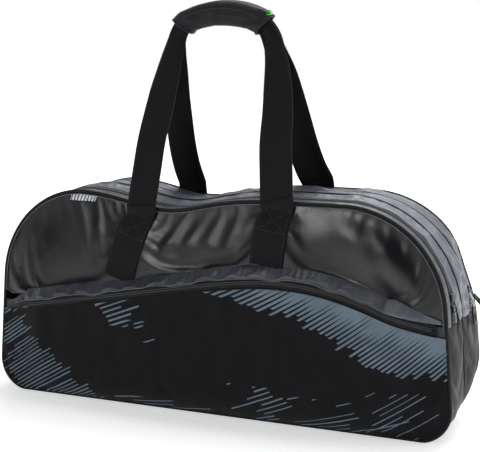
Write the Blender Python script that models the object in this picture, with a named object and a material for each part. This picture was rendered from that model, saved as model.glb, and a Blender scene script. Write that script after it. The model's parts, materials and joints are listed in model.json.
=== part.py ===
"""Racket tournament bag: two zipped compartments, front pocket, twin carry handles."""
import math

import bmesh
import bpy
from mathutils import Matrix, Vector

# ---------------------------------------------------------------- driving dimensions (metres)
LENGTH = 0.750            # end to end, at the base
SEAM_FRONT = -0.080       # front piping plane
SEAM_MID = -0.004         # divider piping plane
SEAM_REAR = 0.080         # rear piping plane
# outline at each seam: y, height, top corner radius, bottom corner radius
OUTLINES = (
    (SEAM_FRONT, 0.329, 0.152, 0.048),
    (SEAM_MID, 0.334, 0.170, 0.066),
    (SEAM_REAR, 0.332, 0.164, 0.093),
)
LEAN = 0.0726             # how much the end walls lean in, per metre of height
SAG_X, SAG_WIDTH, SAG_DEPTH = -0.070, 0.085, 0.022
SAG_FROM = 0.200          # the slump in the top starts above this height
SPLIT_Z = 0.158           # the two lids end here on the end walls
CENTRE_X, CENTRE_Y = 0.0091, -0.0134    # middle of the finished bag's box, moved to the origin
BLUNT = 0.014             # the lids' walls end this blunt at their two corners
GAP = 0.0004              # air between pieces that touch
CLOTH = 0.0018            # thickness of one padded wall
LID_WALL = 0.0024          # thickness of the lids' walls
PIPING_R = 0.0022

ZIP1_Y = -0.0505          # centre line of the front compartment's zipper
ZIP2_Y = 0.0395           # centre line of the rear compartment's zipper
COIL_W = 0.0028           # width of one half of a zipper's teeth
COIL_UP = 0.0012          # how far the teeth stand above the tape
TAPE1_EDGES = (-0.0600, -0.0410)

# front pocket: half-width points of the arched edge, left to right (x, z)
ARCH = (
    (-0.330, 0.142), (-0.270, 0.153), (-0.200, 0.166), (-0.130, 0.179), (-0.060, 0.192),
    (0.000, 0.203), (0.050, 0.211), (0.090, 0.2155), (0.130, 0.2165), (0.170, 0.2135),
    (0.205, 0.2070), (0.240, 0.1975), (0.275, 0.1850), (0.310, 0.1720), (0.340, 0.1630),
)
POCKET_OUT = -0.112       # foremost plane of the pocket
POCKET_BACK = -0.0814      # where its edges meet the wall behind it
POCKET_BASE_Z = 0.0056
PLACKET = 0.022           # height of the grey band above the pocket's zipper
PANEL_BULGE = 0.016       # how far the upper front panel stands out at its lower edge

PALETTE = {
    "coated_black": (0.035, 0.036, 0.042), "printed_black": (0.030, 0.032, 0.038),
    "slate": (0.16, 0.18, 0.21), "silver_grey": (0.33, 0.35, 0.42),
    "piping": (0.010, 0.010, 0.012), "tape": (0.022, 0.022, 0.026),
    "teeth": (0.030, 0.030, 0.034), "metal_black": (0.045, 0.045, 0.050),
    "rubber_black": (0.016, 0.016, 0.017), "webbing": (0.014, 0.014, 0.016),
    "wrap": (0.030, 0.030, 0.034), "gusset_black": (0.020, 0.020, 0.023),
    "lining": (0.060, 0.062, 0.068), "board": (0.080, 0.080, 0.085),
    "reflective": (0.62, 0.64, 0.66), "green": (0.15, 0.65, 0.05),
}


# ---------------------------------------------------------------- helpers
def clear_scene():
    for item in list(bpy.data.objects):
        bpy.data.objects.remove(item, do_unlink=True)


def lerp(a, b, t):
    return a + (b - a) * t


def outline_at(y):
    """Height, top radius and bottom radius of the bag's outline at depth y."""
    first, second = (OUTLINES[0], OUTLINES[1]) if y < SEAM_MID else (OUTLINES[1], OUTLINES[2])
    t = (y - first[0]) / (second[0] - first[0])
    return tuple(lerp(first[i], second[i], t) for i in (1, 2, 3))


def sag(x, z):
    """Height after the soft top's slump between the handles."""
    share = max(0.0, min(1.0, (z - SAG_FROM) / 0.10))
    return z - SAG_DEPTH * share * math.exp(-((x - SAG_X) / SAG_WIDTH) ** 2)


def side_x(z, inset):
    return LENGTH / 2 - LEAN * z - inset * math.sqrt(1 + LEAN * LEAN)


def upper_path(y, inset=0.0, top_steps=26, arc_steps=14, start=SPLIT_Z):
    """Outline from the right end wall over the top to the left end wall, as (x, z)."""
    height, radius, _ = outline_at(y)
    radius = radius - inset
    top = height - inset
    slope = math.sqrt(1 + LEAN * LEAN)
    centre_z = top - radius
    centre_x = side_x(centre_z, inset) - radius * slope
    first = math.atan(LEAN)
    half = [(side_x(start, inset), start)]
    for i in range(arc_steps + 1):
        angle = lerp(first, math.pi / 2, i / arc_steps)
        half.append((centre_x + radius * math.cos(angle), centre_z + radius * math.sin(angle)))
    straight = [(lerp(centre_x, -centre_x, i / top_steps), top) for i in range(1, top_steps)]
    points = half + straight + [(-x, z) for x, z in reversed(half)]
    return [(x, sag(x, z)) for x, z in points]


def lower_path(y, inset=0.0, arc_steps=9, start=SPLIT_Z):
    """Outline from the left end wall under the base to the right end wall."""
    _, _, radius = outline_at(y)
    radius = radius - inset
    slope = math.sqrt(1 + LEAN * LEAN)
    centre_z = inset + radius
    centre_x = side_x(centre_z, inset) - radius * slope
    last = math.atan(LEAN)
    half = [(lerp(0.0, centre_x, i / 4), inset) for i in range(4)]
    for i in range(arc_steps + 1):
        angle = lerp(-math.pi / 2, last, i / arc_steps)
        half.append((centre_x + radius * math.cos(angle), centre_z + radius * math.sin(angle)))
    half.append((side_x(start, inset), start))
    return [(-x, z) for x, z in reversed(half)][:-1] + half


def whole_path(y, inset=0.0):
    """The closed outline: the upper run followed by the lower one, without doubled points."""
    upper = upper_path(y, inset, start=SPLIT_Z)
    lower = lower_path(y, inset, start=SPLIT_Z)
    return upper[:-1] + lower[:-1]


def material(slot):
    made = bpy.data.materials.get(slot)
    if made is None:
        made = bpy.data.materials.new(slot)
        made.use_nodes = True
        made.node_tree.nodes["Principled BSDF"].inputs["Base Color"].default_value = PALETTE[slot] + (1.0,)
        made.node_tree.nodes["Principled BSDF"].inputs["Roughness"].default_value = 0.6
    return made


def finish_mesh(name, slot, bm, pivot=None):
    """Turn a bmesh into the named object, faces outward, origin on its pivot."""
    bmesh.ops.remove_doubles(bm, verts=bm.verts, dist=0.000001)
    bmesh.ops.recalc_face_normals(bm, faces=bm.faces)
    mesh = bpy.data.meshes.new(name)
    if pivot is not None:
        bmesh.ops.translate(bm, verts=bm.verts, vec=-Vector(pivot))
    bm.to_mesh(mesh)
    bm.free()
    made = bpy.data.objects.new(name, mesh)
    if pivot is not None:
        made.location = pivot
    made.data.materials.append(material(slot))
    bpy.context.scene.collection.objects.link(made)
    return made


def grid_solid(name, slot, outer, inner, closed=False, pivot=None):
    """A closed wall between two grids of points, rows by columns."""
    bm = bmesh.new()
    rows, cols = len(outer), len(outer[0])
    top = [[bm.verts.new(p) for p in row] for row in outer]
    low = [[bm.verts.new(p) for p in row] for row in inner]
    span = cols if closed else cols - 1
    for r in range(rows - 1):
        for c in range(span):
            d = (c + 1) % cols
            bm.faces.new((top[r][c], top[r][d], top[r + 1][d], top[r + 1][c]))
            bm.faces.new((low[r][c], low[r + 1][c], low[r + 1][d], low[r][d]))
    for r, flip in ((0, False), (rows - 1, True)):
        for c in range(span):
            d = (c + 1) % cols
            face = (top[r][c], low[r][c], low[r][d], top[r][d])
            bm.faces.new(tuple(reversed(face)) if flip else face)
    if not closed:
        for c, flip in ((0, True), (cols - 1, False)):
            for r in range(rows - 1):
                face = (top[r][c], low[r][c], low[r + 1][c], top[r + 1][c])
                bm.faces.new(tuple(reversed(face)) if flip else face)
    return finish_mesh(name, slot, bm, pivot)


def tube_solid(name, slot, points, radii, sides=8, closed=False, pivot=None, flat=None):
    """A round or elliptical bar along a run of points; flat gives (width axis, thickness) instead."""
    bm = bmesh.new()
    rings = []
    count = len(points)
    for i, point in enumerate(points):
        before = points[(i - 1) % count] if closed or i else points[0]
        after = points[(i + 1) % count] if closed or i < count - 1 else points[-1]
        tangent = (Vector(after) - Vector(before)).normalized()
        side = Vector((0, 1, 0)) if flat is None else Vector(flat)
        side = (side - tangent * side.dot(tangent)).normalized()
        other = tangent.cross(side).normalized()
        ra, rb = radii[i] if isinstance(radii, (list, tuple)) else (radii, radii)
        ring = []
        for k in range(sides):
            angle = 2 * math.pi * (k + 0.5) / sides
            offset = side * (ra * math.cos(angle)) + other * (rb * math.sin(angle))
            ring.append(bm.verts.new(Vector(point) + offset))
        rings.append(ring)
    span = count if closed else count - 1
    for i in range(span):
        one, two = rings[i], rings[(i + 1) % count]
        for k in range(sides):
            m = (k + 1) % sides
            bm.faces.new((one[k], one[m], two[m], two[k]))
    if not closed:
        bm.faces.new(tuple(reversed(rings[0])))
        bm.faces.new(tuple(rings[-1]))
    return finish_mesh(name, slot, bm, pivot)


def strap_solid(name, slot, centres, widths, across, thick, pivot=None):
    """Flat webbing: rectangular section, its width along each row's own direction."""
    bm = bmesh.new()
    rings = []
    count = len(centres)
    for i, centre in enumerate(centres):
        before = Vector(centres[max(0, i - 1)])
        after = Vector(centres[min(count - 1, i + 1)])
        tangent = (after - before).normalized()
        wide = Vector(across[i] if isinstance(across, list) else across)
        wide = (wide - tangent * wide.dot(tangent)).normalized()
        up = tangent.cross(wide).normalized()
        half = widths[i] / 2
        corner = [wide * sx * half + up * sy * thick / 2 for sx, sy in ((-1, -1), (1, -1), (1, 1), (-1, 1))]
        rings.append([bm.verts.new(Vector(centre) + c) for c in corner])
    for one, two in zip(rings, rings[1:]):
        for k in range(4):
            m = (k + 1) % 4
            bm.faces.new((one[k], one[m], two[m], two[k]))
    bm.faces.new(tuple(reversed(rings[0])))
    bm.faces.new(tuple(rings[-1]))
    return finish_mesh(name, slot, bm, pivot)


def box_solid(name, slot, size, place, pivot=None):
    """A block of the given size, put in place by a matrix."""
    bm = bmesh.new()
    bmesh.ops.create_cube(bm, size=1.0)
    bmesh.ops.scale(bm, vec=size, verts=bm.verts)
    bmesh.ops.transform(bm, matrix=place, verts=bm.verts)
    return finish_mesh(name, slot, bm, pivot)


def band(name, slot, y0, y1, path, out=0.0, thick=CLOTH, crown=0.0, rows=3, pivot=None, closed=False):
    """A gusset strip between depths y0 and y1 that follows the outline."""
    outer, inner = [], []
    for r in range(rows):
        t = r / (rows - 1)
        y = lerp(y0, y1, t)
        swell = crown * math.sin(math.pi * t)
        outer.append([(x, y, z) for x, z in path(y, out - swell)])
        inner.append([(x, y, z) for x, z in path(y, out - swell + thick)])
    return grid_solid(name, slot, outer, inner, closed=closed, pivot=pivot)


def piping(name, y, path, closed=False, pivot=None):
    points = [(x, y, z) for x, z in path(y, PIPING_R)]
    return tube_solid(name, "piping", points, PIPING_R, sides=8, closed=closed, pivot=pivot)


def resample(points, count):
    """The same run of (x, z) points at equal steps along its length."""
    lengths = [0.0]
    for one, two in zip(points, points[1:]):
        lengths.append(lengths[-1] + math.hypot(two[0] - one[0], two[1] - one[1]))
    made = []
    for i in range(count):
        want = lengths[-1] * i / (count - 1)
        k = 0
        while k < len(lengths) - 2 and lengths[k + 1] < want:
            k += 1
        span = lengths[k + 1] - lengths[k]
        t = 0.0 if span == 0 else (want - lengths[k]) / span
        made.append((lerp(points[k][0], points[k + 1][0], t), lerp(points[k][1], points[k + 1][1], t)))
    return made


def arch_z(x, rise=0.0):
    """Height of the pocket's arched edge at x, moved up by rise."""
    if x <= ARCH[0][0]:
        return ARCH[0][1] + rise
    for one, two in zip(ARCH, ARCH[1:]):
        if x <= two[0]:
            return lerp(one[1], two[1], (x - one[0]) / (two[0] - one[0])) + rise
    return ARCH[-1][1] + rise


def bulge_share(x):
    """How far out of the front plane the pocket's top edge stands, 0 at its ends to 1."""
    t = max(0.0, min(1.0, (0.352 - abs(x)) / 0.046))
    return t * t * (3 - 2 * t)


def pocket_y(x, z):
    """Outer face of the pocket."""
    low = max(0.0, min(1.0, (z - POCKET_BASE_Z) / 0.07))
    low = math.sin(low * math.pi / 2)
    return POCKET_BACK - (POCKET_BACK - POCKET_OUT) * bulge_share(x) * low


def local_frame(centre, outward, along):
    """Matrix with X along the run, Y across it and Z outward."""
    z_axis = Vector(outward).normalized()
    x_axis = (Vector(along) - z_axis * Vector(along).dot(z_axis)).normalized()
    y_axis = z_axis.cross(x_axis)
    made = Matrix((x_axis, y_axis, z_axis)).transposed().to_4x4()
    made.translation = Vector(centre)
    return made


# ---------------------------------------------------------------- shell of the two compartments
def build_shell():
    band("front_lower_gusset", "gusset_black", SEAM_FRONT + 0.0026, SEAM_MID - 0.0026, lower_path, rows=4)
    band("rear_lower_gusset", "gusset_black", SEAM_MID + 0.0026, SEAM_REAR - 0.0026, lower_path, rows=4)
    lifted = SPLIT_Z + GAP
    upper = lambda y, inset=0.0: upper_path(y, inset, start=lifted)
    band("top_strip_between_zips_front", "silver_grey", TAPE1_EDGES[1] + GAP, SEAM_MID - 0.0026, upper)
    band("top_strip_between_zips_rear", "silver_grey", SEAM_MID + 0.0026, ZIP2_Y - COIL_W - 0.0008, upper)
    band("front_zip_rear_tape", "tape", ZIP1_Y + COIL_W + GAP, TAPE1_EDGES[1], upper, out=0.0002, thick=0.001)
    band("front_zip_rear_teeth", "teeth", ZIP1_Y + 0.0003, ZIP1_Y + COIL_W, upper, out=-COIL_UP, thick=0.0024, rows=2)
    band("rear_zip_front_teeth", "teeth", ZIP2_Y - COIL_W, ZIP2_Y - 0.0003, upper, out=-COIL_UP, thick=0.0024, rows=2)
    piping("divider_piping", SEAM_MID, whole_path, closed=True)
    piping("front_lower_piping", SEAM_FRONT, lower_path)
    piping("rear_lower_piping", SEAM_REAR, lower_path)
    wall("divider_panel", "lining", SEAM_MID - 0.0007, 0.0014, whole_path(SEAM_MID, 0.0050), 0.0, True)
    for name, y0, y1 in (("front_base_board", SEAM_FRONT + 0.006, SEAM_MID - 0.004),
                         ("rear_base_board", SEAM_MID + 0.004, SEAM_REAR - 0.006)):
        centre = Matrix.Translation((0.0, (y0 + y1) / 2, CLOTH + GAP + 0.001))
        box_solid(name, "board", (0.50, y1 - y0, 0.002), centre)


def wall(name, slot, y_outer, thick, loop, bulge, closed_loop, pivot=None, sign=1.0):
    """A flat or domed wall inside a closed loop of (x, z) points."""
    bm = bmesh.new()
    mid_x = sum(p[0] for p in loop) / len(loop)
    mid_z = 0.5 * (min(p[1] for p in loop) + max(p[1] for p in loop))
    steps = (1.0, 0.8, 0.55, 0.3) if bulge else (1.0,)
    sheets = []
    for face, shift in ((0, 0.0), (1, thick)):
        rings = []
        for s in steps:
            y = y_outer + sign * (shift - bulge * (1 - s * s))
            rings.append([bm.verts.new((lerp(mid_x, x, s), y, lerp(mid_z, z, s))) for x, z in loop])
        sheets.append(rings)
        for one, two in zip(rings, rings[1:]):
            for k in range(len(loop)):
                m = (k + 1) % len(loop)
                bm.faces.new((one[k], one[m], two[m], two[k]))
        bm.faces.new(rings[-1])
    for k in range(len(loop)):
        m = (k + 1) % len(loop)
        bm.faces.new((sheets[0][0][k], sheets[0][0][m], sheets[1][0][m], sheets[1][0][k]))
    return finish_mesh(name, slot, bm, pivot)


# ---------------------------------------------------------------- front wall under the lid, and pocket
def build_front_wall():
    lower = lower_path(SEAM_FRONT, 0.0048, start=SPLIT_Z)
    right_x, left_x = lower[-1][0], lower[0][0]
    rim = []
    count = 40
    for i in range(1, count):
        x = lerp(right_x, left_x, i / count)
        rim.append((x, max(SPLIT_Z, arch_z(x, PLACKET))))
    wall("front_lower_wall", "coated_black", SEAM_FRONT - 0.001, CLOTH, lower + rim, 0.0, True)


def arch_strip(name, slot, low, high, x0, x1, out, thick, count=44, pivot=None):
    """A ribbon on the pocket's arch between two heights above the arched edge."""
    outer, inner = [], []
    for rise in (low, high):
        front, back = [], []
        for i in range(count):
            x = lerp(x0, x1, i / (count - 1))
            z = arch_z(x, rise)
            y = pocket_y(x, arch_z(x)) - out
            front.append((x, y, z))
            back.append((x, y + thick, z))
        outer.append(front)
        inner.append(back)
    return grid_solid(name, slot, outer, inner, pivot=pivot)


def build_pocket():
    x0, x1 = -0.322, 0.345
    # pocket front: domed wall from the seam round the base up to just under the lower tape
    columns, rows = 56, 8
    start = lower_path(SEAM_FRONT, 0.0056, start=0.1300)
    low = resample(start, columns)
    high = []
    for i in range(columns):
        x = lerp(low[0][0] + 0.0005, low[-1][0] - 0.0005, i / (columns - 1))
        high.append((x, arch_z(x, -0.0105)))
    outer, inner = [], []
    for r in range(rows):
        t = r / (rows - 1)
        front, back = [], []
        for c in range(columns):
            x = lerp(low[c][0], high[c][0], t)
            z = lerp(low[c][1], high[c][1], t)
            y = pocket_y(x, z)
            front.append((x, y - 0.0016, z))
            back.append((x, y, z))
        outer.append(front)
        inner.append(back)
    grid_solid("pocket_front_panel", "printed_black", outer, inner, pivot=POCKET_HINGE)
    arch_strip("pocket_zip_lower_tape", "tape", -0.0091, -0.0032, x0, x1, 0.0008, 0.001, pivot=POCKET_HINGE)
    arch_strip("pocket_zip_lower_teeth", "teeth", -0.0028, -0.0003, x0, x1, 0.0020, 0.0024, pivot=POCKET_HINGE)
    arch_strip("pocket_zip_upper_teeth", "teeth", 0.0003, 0.0028, x0, x1, 0.0020, 0.0024)
    arch_strip("pocket_zip_upper_tape", "tape", 0.0032, 0.0080, x0, x1, 0.0008, 0.001)
    # placket: from the upper tape to the lid's edge, sloping back to the wall
    outer, inner = [], []
    for rise, back_off in ((0.0094, 0.0008), (0.0150, 0.0012), (PLACKET - 0.0058, -0.0096)):
        front, back = [], []
        for i in range(44):
            x = lerp(x0 - 0.010, x1 + 0.004, i / 43)
            y = pocket_y(x, arch_z(x)) - 0.0012 - back_off * bulge_share(x)
            front.append((x, y - 0.0010, arch_z(x, rise)))
            back.append((x, y + 0.0006, arch_z(x, rise)))
        outer.append(front)
        inner.append(back)
    grid_solid("pocket_placket", "slate", outer, inner)
    arch_strip("pocket_zip_end_tab", "slate", 0.0045, 0.0175, 0.288, 0.350, 0.0078, 0.0016, count=20)


# ---------------------------------------------------------------- lids
def lid_panel(name, slot, y_rim, sign, lower, upper_curve, bulge, pivot, rows=6):
    """Upper wall of a compartment, ruled from its lower edge up to the seam."""
    count = 48
    low = resample(lower, count)
    high = resample(upper_curve, count)
    outer, inner = [], []
    for r in range(rows):
        t = r / (rows - 1)
        front, back = [], []
        for c in range(count):
            x = lerp(low[c][0], high[c][0], t)
            z = lerp(low[c][1], high[c][1], t)
            ends = math.sin(math.pi * c / (count - 1))
            y = y_rim + sign * bulge * ends * math.cos(t * math.pi / 2)
            front.append((x, y, z))
            back.append((x, y - sign * LID_WALL, z))
        outer.append(front)
        inner.append(back)
    return grid_solid(name, slot, outer, inner, pivot=pivot)


FRONT_HINGE = (0.0, -0.130, 0.152)
REAR_HINGE = (0.0, 0.106, 0.150)
POCKET_HINGE = (0.0, -0.086, 0.0052)


def build_front_lid():
    start = SPLIT_Z + 0.0006
    upper = lambda y, inset=0.0: upper_path(y, inset, start=start)
    rim = upper(SEAM_FRONT, 0.0048)
    lower = []
    right_x, left_x = rim[0][0], rim[-1][0]
    for i in range(61):
        x = lerp(right_x - BLUNT, left_x + BLUNT, i / 60)
        lower.append((x, max(start, arch_z(x, PLACKET + 0.0006))))
    lid_panel("front_upper_panel", "coated_black", SEAM_FRONT - 0.001, -1.0, lower, rim, PANEL_BULGE, FRONT_HINGE)
    piping("front_upper_piping", SEAM_FRONT, upper, pivot=FRONT_HINGE)
    band("front_top_strip", "slate", SEAM_FRONT + 0.0026, TAPE1_EDGES[0] - GAP, upper, pivot=FRONT_HINGE)
    band("front_zip_front_tape", "tape", TAPE1_EDGES[0], ZIP1_Y - COIL_W - GAP, upper, out=0.0002,
         thick=0.001, pivot=FRONT_HINGE)
    band("front_zip_front_teeth", "teeth", ZIP1_Y - COIL_W, ZIP1_Y - 0.0003, upper, out=-COIL_UP,
         thick=0.0024, rows=2, pivot=FRONT_HINGE)


def build_rear_lid():
    start = SPLIT_Z + 0.0006
    upper = lambda y, inset=0.0: upper_path(y, inset, start=start)
    rim = upper(SEAM_REAR, 0.0048)
    lower = [(lerp(rim[0][0] - BLUNT, rim[-1][0] + BLUNT, i / 60), start) for i in range(61)]
    lid_panel("rear_upper_panel", "coated_black", SEAM_REAR + 0.001, 1.0, lower, rim, 0.010, REAR_HINGE)
    piping("rear_upper_piping", SEAM_REAR, upper, pivot=REAR_HINGE)
    band("rear_top_strip", "silver_grey", ZIP2_Y + COIL_W + 0.0008, SEAM_REAR - 0.0026, upper, pivot=REAR_HINGE)
    band("rear_zip_rear_teeth", "teeth", ZIP2_Y + 0.0003, ZIP2_Y + COIL_W, upper, out=-COIL_UP,
         thick=0.0024, rows=2, pivot=REAR_HINGE)


def build_rear_wall():
    lower = lower_path(SEAM_REAR, 0.0048, start=SPLIT_Z)
    count = 40
    outer, inner = [], []
    low = resample(lower, 56)
    high = [(lerp(lower[0][0] + BLUNT, lower[-1][0] - BLUNT, i / 55), SPLIT_Z) for i in range(56)]
    rows = 6
    for r in range(rows):
        t = r / (rows - 1)
        front, back = [], []
        for c in range(56):
            x = lerp(low[c][0], high[c][0], t)
            z = lerp(low[c][1], high[c][1], t)
            ends = math.sin(math.pi * c / 55)
            y = SEAM_REAR + 0.001 + 0.010 * ends * math.sin(t * math.pi / 2)
            front.append((x, y, z))
            back.append((x, y - CLOTH, z))
        outer.append(front)
        inner.append(back)
    grid_solid("rear_lower_wall", "coated_black", outer, inner)


# ---------------------------------------------------------------- zipper sliders and pulls
def arc_centre(y, inset=0.0):
    height, radius, _ = outline_at(y)
    centre_z = height - radius
    centre_x = side_x(centre_z, 0.0) - radius * math.sqrt(1 + LEAN * LEAN)
    return Vector((centre_x, y, centre_z)), radius


def slider_at(name, slot, y, angle, pivot=None, length=0.011):
    """Slider plate with its bail, riding on the teeth at an angle up the right corner."""
    centre, radius = arc_centre(y)
    out = Vector((math.cos(angle), 0, math.sin(angle)))
    along = Vector((-math.sin(angle), 0, math.cos(angle)))
    base = centre + out * (radius + COIL_UP + 0.0014)
    frame = local_frame(base, out, along)
    bm = bmesh.new()
    half_w, half_l = 0.0034, length / 2
    # plate
    profile = ((-half_l, -0.7), (-half_l * 0.4, -1.0), (half_l * 0.5, -1.0), (half_l, -0.75),
               (half_l, 0.75), (half_l * 0.5, 1.0), (-half_l * 0.4, 1.0), (-half_l, 0.7))
    low = [bm.verts.new((px, py * half_w, 0.0)) for px, py in profile]
    high = [bm.verts.new((px * 0.94, py * half_w * 0.92, 0.0015)) for px, py in profile]
    bm.faces.new(tuple(reversed(low)))
    # raised bridge that the pull hangs on, built out of the plate's top face
    bridge = ((-0.0034, -0.0011), (0.0034, -0.0011), (0.0034, 0.0011), (-0.0034, 0.0011))
    for k in range(8):
        m = (k + 1) % 8
        bm.faces.new((low[k], low[m], high[m], high[k]))
    bm.faces.new(tuple(high))
    bmesh.ops.transform(bm, matrix=frame, verts=bm.verts)
    made = finish_mesh(name, slot, bm, pivot)
    bm = bmesh.new()
    lower_ring = [bm.verts.new((px, py, 0.0019)) for px, py in bridge]
    upper_ring = [bm.verts.new((px * 0.8, py, 0.0034)) for px, py in bridge]
    bm.faces.new(tuple(reversed(lower_ring)))
    bm.faces.new(tuple(upper_ring))
    for k in range(4):
        m = (k + 1) % 4
        bm.faces.new((lower_ring[k], lower_ring[m], upper_ring[m], upper_ring[k]))
    bmesh.ops.transform(bm, matrix=frame, verts=bm.verts)
    finish_mesh(name + "_bridge", slot, bm, pivot)
    return frame


def pull_at(name, slot, frame, drop, width, thick, kind, swing=0.0, aside=0.0):
    """A pull tab that starts at the bridge and hangs down the run; its origin is its hinge."""
    hinge = frame @ Vector((-0.0046, aside, 0.0038))
    bm = bmesh.new()
    outline = []
    count = 20
    for k in range(count):
        angle = 2 * math.pi * k / count
        cx, sy = math.cos(angle), math.sin(angle)
        power = 0.55 if kind == "oval" else 0.30
        px = -drop / 2 + drop / 2 * math.copysign(abs(cx) ** power, cx)
        py = width / 2 * math.copysign(abs(sy) ** power, sy)
        outline.append((px, py))
    low = [bm.verts.new((px, py, -thick / 2)) for px, py in outline]
    high = [bm.verts.new((px, py, thick / 2)) for px, py in outline]
    for k in range(count):
        m = (k + 1) % count
        bm.faces.new((low[k], low[m], high[m], high[k]))
    if kind == "oval":
        hole_low, hole_high = [], []
        for k in range(count):
            angle = 2 * math.pi * k / count
            px = -drop * 0.60 + drop * 0.20 * math.cos(angle)
            py = width * 0.22 * math.sin(angle)
            hole_low.append(bm.verts.new((px, py, -thick / 2)))
            hole_high.append(bm.verts.new((px, py, thick / 2)))
        for k in range(count):
            m = (k + 1) % count
            bm.faces.new((low[k], hole_low[k], hole_low[m], low[m]))
            bm.faces.new((high[k], high[m], hole_high[m], hole_high[k]))
            bm.faces.new((hole_low[k], hole_high[k], hole_high[m], hole_low[m]))
    else:
        bm.faces.new(tuple(reversed(low)))
        bm.faces.new(tuple(high))
    turn = Matrix.Rotation(swing, 4, "Y")
    place = Matrix.Translation(hinge) @ frame.to_3x3().to_4x4() @ turn
    bmesh.ops.transform(bm, matrix=place, verts=bm.verts)
    return finish_mesh(name, slot, bm, tuple(hinge)), hinge


def build_zip_hardware():
    centre1, _ = arc_centre(ZIP1_Y)
    centre2, _ = arc_centre(ZIP2_Y)
    a1, b1 = math.radians(11.5), math.radians(5.5)
    frame = slider_at("front_zip_slider", "metal_black", ZIP1_Y, a1, pivot=tuple(centre1))
    pull_at("front_zip_pull", "rubber_black", frame, 0.034, 0.0042, 0.0018, "strip", swing=math.radians(4),
            aside=0.0036)
    frame = slider_at("front_zip_end_slider", "metal_black", ZIP1_Y, b1)
    pull_at("front_zip_end_pull", "rubber_black", frame, 0.030, 0.0042, 0.0018, "strip", swing=math.radians(1),
            aside=-0.0036)
    frame = slider_at("rear_zip_slider", "metal_black", ZIP2_Y, a1, pivot=tuple(centre2))
    pull_at("rear_zip_pull", "rubber_black", frame, 0.030, 0.0130, 0.0030, "oval", swing=math.radians(36))
    frame = slider_at("rear_zip_end_slider", "metal_black", ZIP2_Y, b1)
    pull_at("rear_zip_end_pull", "rubber_black", frame, 0.030, 0.0130, 0.0030, "oval", swing=math.radians(3))
    # pocket slider at the left end of its zipper
    x = -0.300
    along = Vector((ARCH[2][0] - ARCH[1][0], 0.0, ARCH[2][1] - ARCH[1][1]))
    y = pocket_y(x + 0.006, arch_z(x)) - 0.0020 - 0.0006 - 0.0016
    frame = local_frame((x, y, arch_z(x)), (0.0, -1.0, 0.0), along)
    place = frame @ Matrix.Translation((0.0, 0.0, 0.0008))
    box_solid("pocket_zip_slider", "metal_black", (0.011, 0.0092, 0.0016), place, pivot=(x, y, arch_z(x)))
    hinge = Vector((x, y - 0.0030, arch_z(x)))
    down = local_frame(hinge, (0.0, -1.0, 0.0), (0.05, 0.0, 1.0))
    bm = bmesh.new()
    bmesh.ops.create_cube(bm, size=1.0)
    bmesh.ops.scale(bm, vec=(0.030, 0.0055, 0.0016), verts=bm.verts)
    bmesh.ops.translate(bm, vec=(-0.015, 0.0, 0.0), verts=bm.verts)
    bmesh.ops.transform(bm, matrix=down, verts=bm.verts)
    finish_mesh("pocket_zip_pull", "rubber_black", bm, tuple(hinge))


# ---------------------------------------------------------------- handles
# run of one handle: x, height, width; the depth follows from the lean of the handle
FRONT_RUN = (
    (-0.108, 0.3140, 0.048), (-0.111, 0.360, 0.048), (-0.111, 0.410, 0.047), (-0.107, 0.460, 0.046),
    (-0.101, 0.505, 0.040), (-0.096, 0.538, 0.034), (-0.089, 0.565, 0.028), (-0.074, 0.585, 0.026),
    (-0.046, 0.5950, 0.026), (-0.012, 0.599, 0.026), (0.019, 0.5955, 0.026), (0.044, 0.5865, 0.026),
    (0.062, 0.568, 0.028), (0.072, 0.540, 0.034), (0.081, 0.505, 0.042), (0.088, 0.460, 0.048),
    (0.094, 0.410, 0.051), (0.103, 0.365, 0.052), (0.111, 0.3330, 0.052),
)
FRONT_FOLD = (0.0, -0.0895, 0.312)
REAR_FOLD = (0.0, 0.0800, 0.334)
REAR_BASE_LEFT, REAR_BASE_RIGHT = 0.329, 0.341
GRIP_HALF_GAP = 0.0022
WEBBING = 0.0022


def handle_points(run, fold, side):
    """Centre points of one handle: its legs lean in from the fold line and meet at the grip."""
    centres, widths = [], []
    top = 0.560
    for x, z, width in run:
        base = run[0][1] if x < 0 else run[-1][1]
        t = min(1.0, max(0.0, (z - base) / (top - base)))
        y = lerp(fold[1], side * GRIP_HALF_GAP, math.sin(t * math.pi / 2) ** 0.9)
        centres.append((x, y, z))
        widths.append(width)
    return centres, widths


def across_for(centres):
    """The webbing's width stays in the handle's own plane, square to its run."""
    made = []
    count = len(centres)
    for i in range(count):
        before = Vector(centres[max(0, i - 1)])
        after = Vector(centres[min(count - 1, i + 1)])
        tangent = (after - before).normalized()
        lean = Vector((0.0, 1.0, 0.0))
        made.append(tuple(tangent.cross(lean)))
    return made


def build_handles():
    centres, widths = handle_points(FRONT_RUN, FRONT_FOLD, -1.0)
    strap_solid("front_handle_webbing", "webbing", centres, widths, across_for(centres), WEBBING, pivot=FRONT_FOLD)
    rear_run = [(x * 0.97, z, width) for x, z, width in FRONT_RUN]
    rear_run[0] = (rear_run[0][0], REAR_BASE_LEFT, rear_run[0][2])
    rear_run[-1] = (rear_run[-1][0], REAR_BASE_RIGHT, rear_run[-1][2])
    centres, widths = handle_points(rear_run, REAR_FOLD, 1.0)
    strap_solid("rear_handle_webbing", "webbing", centres, widths, across_for(centres), WEBBING, pivot=REAR_FOLD)


def grip_path():
    return [(x, z) for x, z, _ in FRONT_RUN[7:12]]


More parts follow.
